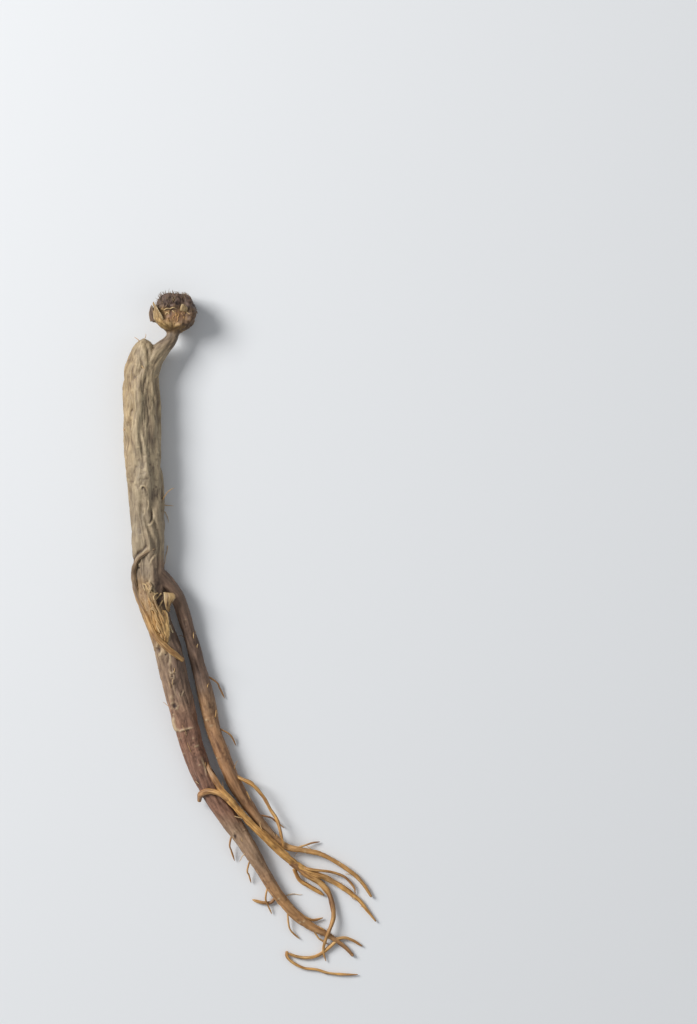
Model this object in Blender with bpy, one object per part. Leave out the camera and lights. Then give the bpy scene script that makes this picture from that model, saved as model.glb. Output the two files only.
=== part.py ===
"""A dried red ginseng root, lying on a table.

The root grew as one piece, so it is one solid: a cup-shaped rhizome head on a thin neck, a furrowed
body, a main leg that runs on into the tail, a side leg, and the golden rootlets that hang from both.
It lies with its head towards +Y, and its underside is pressed flat where it touches the table, at Z = 0.
Lengths are in millimetres until the meshes are made.
"""

import math
import random

import bmesh
import bpy
from mathutils import Matrix, Vector, noise

MM = 0.001
UP = Vector((0.0, 0.0, 1.0))
NAME = "ginseng_root"

# Every limb is a list of knots (x, y, z, radius) from its root to its tip.
BODY = (
    (-24.2, 67.5, 4.3, 1.3),
    (-24.2, 66.7, 4.3, 2.2),
    (-24.3, 65.2, 4.2, 3.0),
    (-24.5, 62.8, 4.0, 3.6),
    (-24.9, 59.0, 3.7, 4.1),
    (-24.8, 54.0, 3.8, 4.4),
    (-24.5, 47.0, 3.85, 4.5),
    (-24.2, 40.0, 3.7, 4.3),
    (-23.7, 31.0, 3.6, 4.15),
    (-23.2, 24.0, 3.55, 4.1),
    (-23.1, 17.0, 3.5, 3.9),
    (-22.9, 11.5, 3.65, 3.7),
    (-22.1, 6.8, 4.0, 3.5),
    (-20.7, 2.4, 4.2, 3.1),
    (-19.4, -1.6, 4.2, 2.4),
    (-18.4, -4.6, 4.2, 1.5),
)
MAIN_LEG = (
    (-22.6, 8.8, 4.0, 2.3),
    (-21.4, 4.6, 4.1, 3.0),
    (-19.0, -2.4, 4.2, 3.35),
    (-17.7, -7.0, 4.1, 3.25),
    (-16.2, -12.8, 3.9, 3.1),
    (-14.7, -18.5, 3.5, 2.9),
    (-13.9, -22.0, 3.2, 2.9),
    (-13.2, -25.4, 2.9, 2.65),
    (-11.6, -30.0, 2.5, 2.7),
    (-9.5, -34.6, 2.3, 2.55),
    (-6.8, -39.2, 2.2, 2.4),
    (-2.9, -45.0, 2.2, 2.2),
    (0.1, -49.6, 2.2, 2.05),
    (2.9, -54.2, 2.0, 1.7),
    (5.6, -58.8, 1.8, 1.5),
    (8.2, -62.2, 1.5, 1.3),
    (11.6, -65.7, 1.3, 1.15),
    (15.1, -68.0, 1.1, 0.95),
    (17.8, -69.3, 0.9, 0.78),
    (20.6, -71.2, 0.8, 0.65),
    (22.4, -72.6, 0.7, 0.55),
    (24.0, -74.4, 0.6, 0.45),
)
SIDE_LEG = (
    (-22.0, 15.0, 4.4, 1.8),
    (-19.2, 12.0, 4.0, 1.9),
    (-16.4, 8.0, 3.4, 1.75),
    (-14.0, 1.0, 2.6, 1.7),
    (-12.0, -6.0, 2.2, 1.8),
    (-9.8, -15.0, 2.1, 1.9),
    (-7.9, -23.0, 2.2, 1.9),
    (-5.0, -30.7, 2.3, 1.8),
    (-2.7, -35.8, 2.2, 1.7),
    (0.6, -40.8, 2.0, 1.5),
    (4.2, -45.4, 1.8, 1.2),
    (8.2, -48.9, 1.6, 0.95),
    (12.4, -49.9, 1.5, 0.75),
    (16.4, -50.8, 1.4, 0.65),
    (19.9, -52.6, 1.3, 0.6),
    (23.6, -55.1, 1.1, 0.55),
    (26.1, -57.6, 0.9, 0.5),
    (28.2, -60.8, 0.7, 0.38),
)
NECK = (
    (-23.9, 59.6, 4.1, 3.2),
    (-22.4, 62.8, 4.3, 2.7),
    (-20.2, 65.3, 4.4, 2.1),
    (-18.4, 67.0, 4.5, 1.7),
    (-17.5, 68.6, 4.4, 1.55),
    (-17.4, 70.6, 4.4, 1.9),
)
# A side root broken off short: a frayed stump on the body, over the fork of the legs, and its loose strands.
STUMP = (
    (-22.8, 10.0, 5.2, 1.3),
    (-21.8, 6.2, 6.2, 2.0),
    (-20.4, 2.2, 6.5, 1.7),
    (-19.3, -0.4, 6.6, 1.1),
    (-18.7, -1.8, 6.6, 0.6),
)
STRANDS = {
    "strand_left": (
        (-23.9, 11.8, 6.6, 0.5),
        (-23.0, 9.2, 7.3, 0.55),
        (-22.0, 6.2, 7.7, 0.6),
        (-20.8, 3.0, 7.8, 0.6),
        (-19.6, 0.0, 7.5, 0.5),
        (-18.8, -2.1, 7.1, 0.35),
    ),
    "strand_right": (
        (-22.2, 11.4, 6.9, 0.45),
        (-21.0, 8.6, 7.5, 0.5),
        (-20.0, 5.4, 7.9, 0.55),
        (-19.0, 2.0, 7.7, 0.55),
        (-18.5, -0.8, 7.2, 0.4),
    ),
    "strand_curl": (
        (-22.4, 6.9, 7.5, 0.45),
        (-21.3, 7.5, 8.3, 0.45),
        (-20.3, 6.9, 8.6, 0.45),
        (-20.1, 5.4, 8.4, 0.42),
        (-20.6, 4.2, 8.0, 0.4),
    ),
}
# The strap root leaves the front of the body, hugs its left edge and crosses the main leg.
STRAP = (
    (-21.6, 19.6, 6.9, 0.55),
    (-24.0, 18.4, 7.4, 0.7),
    (-26.0, 16.4, 6.4, 0.75),
    (-26.7, 13.0, 5.2, 0.75),
    (-25.7, 8.0, 5.3, 0.75),
    (-23.9, 4.4, 6.2, 0.75),
    (-21.8, -0.2, 7.4, 0.8),
    (-19.1, -2.5, 8.1, 0.75),
    (-17.1, -4.3, 8.0, 0.7),
    (-15.1, -5.9, 7.2, 0.6),
)
# The golden root lies in the groove between the legs, and the hook is its short end round the main leg.
GOLDEN_ROOT = (
    (-9.9, -29.6, 3.9, 0.6),
    (-8.8, -31.8, 5.1, 0.75),
    (-6.6, -35.4, 5.3, 0.8),
    (-4.4, -38.0, 4.9, 0.9),
    (-2.0, -40.9, 4.4, 0.85),
    (1.0, -44.2, 3.9, 0.9),
    (4.0, -46.9, 3.5, 1.0),
    (6.4, -49.4, 2.9, 1.0),
    (9.1, -51.9, 2.2, 0.95),
    (12.2, -54.1, 1.6, 0.85),
    (15.3, -55.5, 1.3, 0.75),
    (17.6, -56.3, 1.1, 0.65),
    (21.2, -58.3, 0.9, 0.6),
    (24.9, -61.1, 0.75, 0.52),
    (27.4, -64.1, 0.65, 0.45),
    (29.2, -66.4, 0.55, 0.38),
)
HOOK = (
    (-11.5, -38.5, 2.0, 0.45),
    (-11.2, -37.2, 3.1, 0.75),
    (-10.2, -36.4, 4.4, 0.8),
    (-8.6, -36.1, 5.2, 0.75),
    (-6.6, -36.7, 5.5, 0.75),
    (-4.2, -38.2, 5.0, 0.7),
)
ROOTLETS = {
    "inner_arc": (
        (12.4, -54.0, 1.8, 0.36),
        (14.8, -54.4, 2.1, 0.36),
        (18.7, -54.9, 1.5, 0.34),
        (21.9, -56.1, 1.0, 0.33),
        (24.0, -58.3, 0.7, 0.31),
        (24.5, -59.9, 0.5, 0.3),
    ),
    "long_drop": (
        (9.6, -52.6, 2.1, 0.8),
        (13.6, -55.7, 1.5, 0.8),
        (16.2, -57.3, 1.3, 0.75),
        (18.2, -59.7, 1.1, 0.7),
        (19.2, -62.7, 1.1, 0.62),
        (19.4, -65.6, 1.5, 0.55),
        (18.4, -68.6, 1.9, 0.5),
        (17.5, -70.9, 1.3, 0.42),
        (17.1, -73.3, 0.8, 0.38),
        (17.7, -75.6, 0.5, 0.32),
    ),
    "short_cut": (
        (10.4, -54.2, 1.5, 0.5),
        (11.6, -56.8, 1.1, 0.5),
        (13.7, -58.2, 0.9, 0.5),
        (15.7, -59.4, 0.7, 0.48),
        (17.2, -60.4, 0.65, 0.44),
    ),
    "over_side_leg": (
        (-3.0, -32.8, 3.2, 0.5),
        (0.6, -34.6, 3.5, 0.45),
        (3.2, -37.4, 2.8, 0.42),
        (4.9, -40.4, 2.4, 0.42),
        (6.5, -43.0, 2.7, 0.42),
        (7.3, -45.9, 3.0, 0.4),
        (7.9, -49.0, 2.9, 0.34),
    ),
    "curl_back": (
        (20.2, -70.8, 0.8, 0.45),
        (18.2, -72.6, 0.6, 0.45),
        (16.2, -74.1, 0.55, 0.42),
        (13.7, -74.8, 0.55, 0.4),
        (11.2, -74.6, 0.6, 0.4),
        (8.7, -73.7, 0.7, 0.4),
    ),
    "curl_out": (
        (8.7, -73.4, 0.7, 0.4),
        (8.7, -74.5, 0.7, 0.38),
        (9.9, -75.8, 0.65, 0.36),
        (12.4, -77.1, 0.6, 0.34),
        (15.7, -77.6, 0.5, 0.34),
        (18.4, -78.4, 0.5, 0.33),
        (22.4, -78.7, 0.5, 0.32),
        (25.0, -78.7, 0.5, 0.3),
    ),
    "tail_fork": (
        (19.6, -70.6, 0.9, 0.42),
        (21.9, -70.2, 0.9, 0.38),
        (23.9, -70.8, 0.8, 0.35),
        (26.1, -72.2, 0.5, 0.31),
    ),
    "broken_spur": (
        (6.8, -59.8, 1.4, 0.42),
        (5.8, -61.2, 0.9, 0.42),
        (4.8, -62.1, 0.6, 0.42),
        (2.6, -62.0, 0.55, 0.4),
        (0.7, -61.4, 0.5, 0.36),
    ),
    "ring_scar": (
        (-17.1, -19.6, 2.9, 0.35),
        (-17.0, -21.3, 4.0, 0.45),
        (-16.1, -22.2, 5.3, 0.42),
        (-14.7, -22.0, 6.0, 0.4),
        (-13.1, -21.5, 5.9, 0.35),
    ),
    "tail_spur": (
        (9.4, -62.6, 1.8, 0.35),
        (11.8, -64.6, 1.6, 0.34),
        (13.2, -65.6, 1.2, 0.33),
        (14.9, -66.1, 0.8, 0.32),
        (17.0, -65.6, 0.6, 0.3),
    ),
}

# The rhizome head is a cup round the stub of last year's stem: (height along its axis, radius).
HEAD_FOOT = Vector((-17.4, 69.2, 4.4))
HEAD_AXIS = Vector((0.07, 1.0, 0.02))
HEAD_FLATNESS = 0.86
HEAD_PROFILE = (
    (0.0, 1.5),
    (0.8, 2.5),
    (1.6, 3.8),
    (2.5, 4.6),
    (3.7, 5.0),
    (4.9, 5.1),
    (5.6, 4.8),
    (6.2, 4.3),
    (6.5, 4.0),
    (7.2, 4.1),
    (8.0, 3.8),
    (8.7, 3.0),
    (9.1, 1.9),
    (9.0, 0.9),
)
HEAD_END = 8.9
HEAD_SIDES = 26
HEAD_RIM = 6.0  # above this height the head is the stub of the stem, which is lumpier
# The scar of last year's stem is an oval hollow in the cup's upper side, with a raised rim.
SCAR_CENTRE = (-16.9, 73.1)
SCAR_HALF = (3.3, 1.9)
SCAR_DEPTH, SCAR_RIM = 1.0, 0.4
HEAD_KNOBS = {
    "knob_right": ((-13.9, 73.2, 6.2, 0.6), (-13.5, 74.6, 6.9, 0.9), (-13.8, 75.8, 6.9, 0.6)),
    "knob_ridge": ((-19.6, 74.7, 7.2, 0.45), (-18.0, 75.2, 8.0, 0.5), (-16.4, 74.9, 8.0, 0.4)),
    "knob_left": ((-22.1, 71.6, 4.6, 0.9), (-22.8, 73.4, 4.6, 1.1), (-22.7, 75.0, 4.4, 0.7)),
}

# Thin scraps of skin: an outline in their own plane, then where they stand and how they are turned.
FLAKE_THICKNESS = 0.8
BUD_SCALE = ((0.0, 0.0), (1.8, -0.7), (3.6, 0.2), (3.1, 1.5), (1.7, 3.2), (0.4, 4.8), (-0.2, 2.6))
BUD_SCALE_PLACE = ((-22.2, 71.5, 6.1), (6.0, -40.0, 0.0))
TORN_CHIP = ((0.0, 0.0), (2.7, -0.5), (3.0, -1.3), (1.9, -2.4), (1.4, -4.4), (0.5, -3.6), (-0.6, -1.4))
TORN_CHIP_PLACE = ((-20.2, 9.6, 6.0), (8.0, -12.0, 0.0))
CURLED_EDGE = ((0.0, 0.0), (1.6, 0.6), (2.6, -0.4), (2.0, -2.2), (0.6, -2.8), (-0.6, -1.6))
CURLED_EDGE_PLACE = ((-23.6, 11.6, 6.9), (-14.0, 16.0, 20.0))

FURROW_DEPTH = 0.17  # of the limb's radius
FURROWS_PER_MM = 0.52  # how closely the furrows stand, for a limb of 1 mm radius
FURROW_LENGTH = 14.0  # mm that a furrow runs before it wanders off
SWELLING = 0.075  # of the limb's radius
STUMP_DEPTH = 0.42  # a frayed stump is rougher than whole skin

FINE_ROOTLETS = 5  # on each leg
FINE_RADIUS = 0.31
FINE_LENGTH = (2.5, 5.0)
SEED = 6


def clear_scene():
    for thing in list(bpy.data.objects):
        bpy.data.objects.remove(thing)


def collection(name):
    made = bpy.data.collections.new(name)
    bpy.context.scene.collection.children.link(made)
    return made


def smooth_route(knots, step):
    """A smooth line through the knots, with their radii, sampled about every step mm."""
    route = [Vector(knot) for knot in knots]
    route = [2 * route[0] - route[1], *route, 2 * route[-1] - route[-2]]
    line = []
    for before, start, end, after in zip(route, route[1:], route[2:], route[3:]):
        count = max(1, round((end.xyz - start.xyz).length / step))
        for i in range(count):
            t = i / count
            line.append(
                start
                + (end - before) * (t / 2)
                + (2 * before - 5 * start + 4 * end - after) * (t * t / 2)
                + (3 * start - before - 3 * end + after) * (t**3 / 2)
            )
    line.append(route[-2])
    return line


def skin(along_limb, angle, radius, seed, depth):
    """How far dried skin stands above the plain round section, in mm: long furrows that wander, and swellings."""
    around = Vector((math.cos(angle), math.sin(angle), 0.0))
    swelling = noise.noise(around * 0.7 + Vector((0.0, seed, along_limb / 7.0)))
    wander = angle + 0.5 * noise.noise(around * 0.6 + Vector((seed, seed, along_limb / 9.0)))
    wandered = Vector((math.cos(wander), math.sin(wander), 0.0)) * FURROWS_PER_MM * radius
    furrow = noise.noise(wandered + Vector((seed, 0.0, along_limb / FURROW_LENGTH)))
    sharp = max(0.0, 1.0 - 2.6 * abs(furrow))
    return radius * (SWELLING * swelling - depth * sharp)


def solid_from_rings(name, rings, first_tip, last_tip):
    """One closed mesh object over rings of equal length, closed by a point at each end."""
    bm = bmesh.new()
    rows = [[bm.verts.new(point * MM) for point in ring] for ring in rings]
    tips = [bm.verts.new(tip * MM) for tip in (first_tip, last_tip)]
    sides = len(rings[0])
    for here, there in zip(rows, rows[1:]):
        for i in range(sides):
            j = (i + 1) % sides
            bm.faces.new((here[i], here[j], there[j], there[i]))
    for tip, row in zip(tips, (rows[0], rows[-1])):
        for i in range(sides):
            bm.faces.new((tip, row[i], row[(i + 1) % sides]))
    bmesh.ops.recalc_face_normals(bm, faces=bm.faces)
    mesh = bpy.data.meshes.new(name)
    bm.to_mesh(mesh)
    bm.free()
    return bpy.data.objects.new(name, mesh)


def limb(name, knots, sides, step, seed, depth=FURROW_DEPTH):
    """A furrowed limb: a loft whose section changes all the way along it."""
    line = smooth_route(knots, step)
    rings, along_limb = [], 0.0
    for i, knot in enumerate(line):
        behind, ahead = line[max(i - 1, 0)], line[min(i + 1, len(line) - 1)]
        along_limb += (knot.xyz - behind.xyz).length
        along = (ahead.xyz - behind.xyz).normalized()
        across = along.cross(UP).normalized()
        above = across.cross(along)
        ring = []
        for k in range(sides):
            angle = 2 * math.pi * k / sides
            radius = knot.w + skin(along_limb, angle, knot.w, seed, depth)
            ring.append(knot.xyz + (across * math.cos(angle) + above * math.sin(angle)) * radius)
        rings.append(ring)
    first_way = (line[0].xyz - line[1].xyz).normalized()
    last_way = (line[-1].xyz - line[-2].xyz).normalized()
    first_tip = line[0].xyz + first_way * line[0].w * 0.5
    last_tip = line[-1].xyz + last_way * line[-1].w * 0.5
    return solid_from_rings(name, rings, first_tip, last_tip)


def scar_height(point):
    """How far the stem scar lifts (its rim) or sinks (its bed) a point of the head's upper side, in mm."""
    if point.z < HEAD_FOOT.z:
        return 0.0
    apart = math.hypot((point.x - SCAR_CENTRE[0]) / SCAR_HALF[0], (point.y - SCAR_CENTRE[1]) / SCAR_HALF[1])
    bed = math.exp(-(apart**4))
    rim = math.exp(-(((apart - 1.25) / 0.3) ** 2))
    return SCAR_RIM * rim - SCAR_DEPTH * bed


def head(seed=3.0):
    """The cup-shaped rhizome head, lumpy all round, with a ragged rim."""
    axis = HEAD_AXIS.normalized()
    across = axis.cross(UP).normalized()
    above = across.cross(axis) * HEAD_FLATNESS
    rings = []
    for height, radius in HEAD_PROFILE:
        ring = []
        for k in range(HEAD_SIDES):
            angle = 2 * math.pi * k / HEAD_SIDES
            around = Vector((math.cos(angle), math.sin(angle), 0.0))
            lump = noise.noise(around * 1.9 + Vector((seed, 0.0, height / 2.6)))
            ragged = noise.noise(around * 2.6 + Vector((0.0, seed, 0.0)))
            spoke = radius * (1.0 + (0.2 if height < HEAD_RIM else 0.34) * lump)
            lift = height + 0.15 * radius * ragged
            point = HEAD_FOOT + axis * lift + (across * around.x + above * around.y) * spoke
            ring.append(point + UP * scar_height(point))
        rings.append(ring)
    return solid_from_rings("head", rings, HEAD_FOOT - axis * 0.6, HEAD_FOOT + axis * HEAD_END)


def rootlet(name, knots, sides_code=1, step=1.7):
    """A thin root as a bevelled curve: 6 sides with a bevel resolution of 1."""
    line = smooth_route(knots, step)
    curve = bpy.data.curves.new(name, "CURVE")
    curve.dimensions = "3D"
    curve.bevel_depth = MM
    curve.bevel_resolution = sides_code
    curve.use_fill_caps = True
    spline = curve.splines.new("POLY")
    spline.points.add(len(line) - 1)
    for point, knot in zip(spline.points, line):
        point.co = (*(knot.xyz * MM), 1.0)
        point.radius = knot.w
    return as_mesh(bpy.data.objects.new(name, curve))


def flake(name, outline, place):
    """A thin scrap of skin: a flat outline with a thickness, turned into its place."""
    where, turn = place
    curve = bpy.data.curves.new(name, "CURVE")
    curve.dimensions = "2D"
    curve.fill_mode = "BOTH"
    curve.extrude = FLAKE_THICKNESS / 2 * MM
    spline = curve.splines.new("POLY")
    spline.points.add(len(outline) - 1)
    for point, (x, y) in zip(spline.points, outline):
        point.co = (x * MM, y * MM, 0.0, 1.0)
    spline.use_cyclic_u = True
    made = bpy.data.objects.new(name, curve)
    made.location = Vector(where) * MM
    made.rotation_euler = [math.radians(degrees) for degrees in turn]
    return as_mesh(made)


def as_mesh(curve_object):
    """The curve as a mesh object with its caps welded on, so that a Boolean can join it."""
    bpy.context.scene.collection.objects.link(curve_object)
    graph = bpy.context.evaluated_depsgraph_get()
    evaluated = curve_object.evaluated_get(graph)
    mesh = bpy.data.meshes.new_from_object(evaluated)
    mesh.transform(evaluated.matrix_world)
    bm = bmesh.new()
    bm.from_mesh(mesh)
    bmesh.ops.remove_doubles(bm, verts=bm.verts, dist=0.01 * MM)
    bmesh.ops.recalc_face_normals(bm, faces=bm.faces)
    bm.to_mesh(mesh)
    bm.free()
    name = curve_object.name
    bpy.data.objects.remove(curve_object)
    return bpy.data.objects.new(name, mesh)


def fine_rootlets(name, leg, outer_side, draw, first_share, last_share):
    """Short hair roots, spread evenly along the outer side of a leg and swept towards its tip."""
    line = smooth_route(leg, 1.0)
    made = []
    for i in range(FINE_ROOTLETS):
        share = first_share + (last_share - first_share) * i / (FINE_ROOTLETS - 1)
        k = round(share * (len(line) - 2))
        knot, along = line[k], (line[k + 1].xyz - line[k].xyz).normalized()
        side = along.cross(UP).normalized() * outer_side
        length = draw.uniform(*FINE_LENGTH)
        start = line[k - 2].xyz + UP * draw.uniform(-0.2, 0.3) * knot.w
        sweep = draw.uniform(0.9, 1.5)
        knots = [(*start, FINE_RADIUS)]
        for t in (0.3, 0.65, 1.0):
            outward = side * (knot.w + 0.5 * length * (1 - (1 - t) ** 2))
            onward = along * length * (0.35 * t + sweep * 0.6 * t * t)
            point = knot.xyz + outward + onward + side * draw.uniform(-0.3, 0.3)
            height = max(FINE_RADIUS + 0.1, start.z + (FINE_RADIUS + 0.2 - start.z) * t)
            knots.append((point.x, point.y, height, FINE_RADIUS))
        made.append(rootlet(f"{name}_{i}", knots, sides_code=0, step=1.6))
    return made


def fuse(core, pieces):
    """Joins the pieces to the core in one Boolean union, then removes them."""
    held = collection("pieces_to_fuse")
    for piece in pieces:
        held.objects.link(piece)
    union = core.modifiers.new("fuse", "BOOLEAN")
    union.operation = "UNION"
    union.operand_type = "COLLECTION"
    union.collection = held
    union.solver = "EXACT"
    graph = bpy.context.evaluated_depsgraph_get()
    joined = bpy.data.meshes.new_from_object(core.evaluated_get(graph))
    core.modifiers.clear()
    core.data = joined
    for piece in pieces:
        bpy.data.objects.remove(piece)
    bpy.data.collections.remove(held)


def press_flat(root):
    """The underside is flat where the root lay while it dried."""
    for vertex in root.data.vertices:
        vertex.co.z = max(vertex.co.z, 0.0)


def root_skin():
    material = bpy.data.materials.new("root_skin")
    material.use_nodes = True
    shader = material.node_tree.nodes["Principled BSDF"]
    shader.inputs["Base Color"].default_value = (0.33, 0.2, 0.09, 1.0)
    shader.inputs["Roughness"].default_value = 0.62
    shader.inputs["Metallic"].default_value = 0.0
    return material


def main():
    clear_scene()
    draw = random.Random(SEED)
    body = limb(NAME, BODY, sides=42, step=1.9, seed=1.3)
    pieces = [
        limb("main_leg", MAIN_LEG, sides=20, step=2.2, seed=4.1),
        limb("side_leg", SIDE_LEG, sides=12, step=2.2, seed=7.7),
        limb("neck", NECK, sides=14, step=1.2, seed=2.2),
        limb("stump", STUMP, sides=12, step=1.1, seed=5.4, depth=STUMP_DEPTH),
        head(),
        rootlet("strap", STRAP, sides_code=2),
        rootlet("golden_root", GOLDEN_ROOT, sides_code=2),
        rootlet("hook", HOOK, sides_code=2, step=1.2),
        flake("bud_scale", BUD_SCALE, BUD_SCALE_PLACE),
        flake("torn_chip", TORN_CHIP, TORN_CHIP_PLACE),
        flake("curled_edge", CURLED_EDGE, CURLED_EDGE_PLACE),
    ]
    pieces += [rootlet(name, knots) for name, knots in ROOTLETS.items()]
    pieces += [rootlet(name, knots, step=1.3) for name, knots in STRANDS.items()]
    pieces += [limb(name, knots, sides=8, step=0.9, seed=8.6) for name, knots in HEAD_KNOBS.items()]
    pieces += fine_rootlets("main_fine", MAIN_LEG, 1, draw, 0.62, 0.92)
    pieces += fine_rootlets("side_fine", SIDE_LEG, -1, draw, 0.3, 0.8)
    root_parts = collection(NAME)
    root_parts.objects.link(body)
    fuse(body, pieces)
    press_flat(body)
    body.data.materials.clear()
    body.data.materials.append(root_skin())
    body.data.shade_smooth()
    body.data.set_sharp_from_angle(angle=math.radians(50))


main()
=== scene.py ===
# %% [markdown]
# # A dried red ginseng root
#
# The object is one steamed and dried root, lying on its belly. It has a cup-shaped rhizome head on a thin
# neck, a furrowed tan body, a main leg and a side leg that turn reddish brown, and golden rootlets that
# trail from both.
#
# A root has no straight line or round section anywhere, so the lesson builds it the way it grew: from
# routes. A route is a short list of knots, each with a place and a radius. Everything else, from the
# furrows to the finest hair, is worked out along those routes.

import math
import random

import bpy
import numpy as np
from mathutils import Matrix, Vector, noise
from mathutils.bvhtree import BVHTree
from mathutils.kdtree import KDTree


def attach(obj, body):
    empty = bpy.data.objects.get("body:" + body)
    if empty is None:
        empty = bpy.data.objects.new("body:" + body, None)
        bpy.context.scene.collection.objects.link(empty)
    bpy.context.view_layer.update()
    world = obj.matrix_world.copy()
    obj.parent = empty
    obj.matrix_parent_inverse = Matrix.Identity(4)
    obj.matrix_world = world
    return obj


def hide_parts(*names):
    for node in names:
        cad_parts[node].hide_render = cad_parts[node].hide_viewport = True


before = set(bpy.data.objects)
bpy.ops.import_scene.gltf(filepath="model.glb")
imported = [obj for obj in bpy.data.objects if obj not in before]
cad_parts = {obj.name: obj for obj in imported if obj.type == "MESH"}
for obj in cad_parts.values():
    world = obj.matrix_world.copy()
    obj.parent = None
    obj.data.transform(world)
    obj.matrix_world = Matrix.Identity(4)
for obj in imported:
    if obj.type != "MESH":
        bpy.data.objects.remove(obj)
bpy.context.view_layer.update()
MM = 0.001
UP = Vector((0.0, 0.0, 1.0))

# %% [markdown]
# ## The camera
#
# The root is seen flat on, so it can lie on a table and the camera can look straight down on it. The
# camera hangs high and its lens is long, because near by, the top of the head would seem to lean
# outwards. The view is wider than the root, as in the photograph, with the root on its left side.

# %% Look straight down
VIEW_HEIGHT = 235.5  # mm of table that the picture's long side covers
VIEW_CENTRE = (22.9, 28.1)
CAMERA_HEIGHT = 1.0
ROOT_MIDDLE = 0.0045  # height in m at which the view has its stated size
FILM = 36.0

camera = bpy.data.objects.new("camera", bpy.data.cameras.new("camera"))
camera.data.sensor_width = FILM
camera.data.lens = FILM * (CAMERA_HEIGHT - ROOT_MIDDLE) / (VIEW_HEIGHT * MM)
camera.data.clip_start = 0.01
camera.location = (VIEW_CENTRE[0] * MM, VIEW_CENTRE[1] * MM, CAMERA_HEIGHT)
bpy.context.scene.collection.objects.link(camera)
bpy.context.scene.camera = camera
print("lens:", round(camera.data.lens, 1), "mm")

# %% [markdown]
# ## The routes
#
# Each knot is (x, y, z, radius) in millimetres, from the root end of a limb to its tip. The legs start
# well inside the body, so that nothing seems stuck on. The plain solid root has nearly the same knots: a
# few here were moved by less than a millimetre, to come closer to the real root.

# %% The thick limbs
BODY = (
    (-24.2, 67.5, 4.3, 1.3), (-24.2, 66.7, 4.3, 2.2), (-24.3, 65.2, 4.2, 3.0), (-24.5, 62.8, 4.0, 3.6),
    (-25.0, 59.0, 3.8, 4.25), (-24.8, 54.0, 3.8, 4.4), (-24.5, 47.0, 3.85, 4.5), (-24.2, 40.0, 3.7, 4.3),
    (-23.7, 31.0, 3.6, 4.15), (-23.2, 24.0, 3.55, 4.1), (-23.1, 17.0, 3.5, 3.9), (-22.9, 11.5, 3.65, 3.7),
    (-22.1, 6.8, 4.0, 3.5), (-20.7, 2.4, 4.2, 3.1), (-19.4, -1.6, 4.2, 2.4), (-18.4, -4.6, 4.2, 1.5),
)
MAIN_LEG = (
    (-22.6, 8.8, 4.0, 2.3), (-21.4, 4.6, 4.1, 3.0), (-19.0, -2.4, 4.2, 3.35), (-17.9, -7.0, 4.1, 3.3),
    (-16.6, -12.8, 3.9, 3.2), (-15.0, -18.5, 3.5, 2.95), (-14.0, -22.0, 3.2, 2.9), (-13.2, -25.4, 2.9, 2.65),
    (-11.6, -30.0, 2.5, 2.7), (-9.5, -34.6, 2.3, 2.55), (-6.8, -39.2, 2.2, 2.4), (-2.9, -45.0, 2.2, 2.2),
    (0.1, -49.6, 2.2, 2.05), (2.9, -54.2, 2.0, 1.7), (5.6, -58.8, 1.8, 1.5), (8.2, -62.2, 1.5, 1.3),
    (11.6, -65.7, 1.3, 1.15), (15.1, -68.0, 1.1, 0.95), (17.8, -69.3, 0.9, 0.78), (20.6, -71.2, 0.8, 0.65),
    (22.4, -72.6, 0.7, 0.55), (24.0, -74.4, 0.6, 0.45),
)
SIDE_LEG = (
    (-22.0, 15.0, 4.4, 1.8), (-19.2, 12.0, 4.0, 1.9), (-16.4, 8.0, 3.4, 1.75), (-14.0, 1.0, 2.6, 1.7),
    (-12.0, -6.0, 2.2, 1.8), (-9.8, -15.0, 2.1, 1.9), (-7.9, -23.0, 2.2, 1.9), (-5.0, -30.7, 2.3, 1.8),
    (-2.7, -35.8, 2.2, 1.7), (0.6, -40.8, 2.0, 1.5), (4.2, -45.4, 1.8, 1.2), (8.2, -48.9, 1.6, 0.95),
    (12.4, -49.9, 1.5, 0.75), (16.4, -50.8, 1.4, 0.65), (19.9, -52.6, 1.3, 0.6), (23.6, -55.1, 1.1, 0.55),
    (26.1, -57.6, 0.9, 0.5), (28.2, -60.8, 0.7, 0.38),
)
NECK = (
    (-23.9, 59.6, 4.1, 3.2), (-22.4, 62.8, 4.3, 2.7), (-20.2, 65.3, 4.4, 2.1), (-18.4, 67.0, 4.5, 1.7),
    (-17.5, 68.6, 4.4, 1.55), (-17.4, 70.6, 4.4, 1.9),
)
STUMP = (
    (-22.8, 10.0, 5.2, 1.3), (-21.8, 6.2, 6.2, 2.0), (-20.4, 2.2, 6.5, 1.7), (-19.3, -0.4, 6.6, 1.1),
    (-18.7, -1.8, 6.6, 0.6),
)

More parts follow.
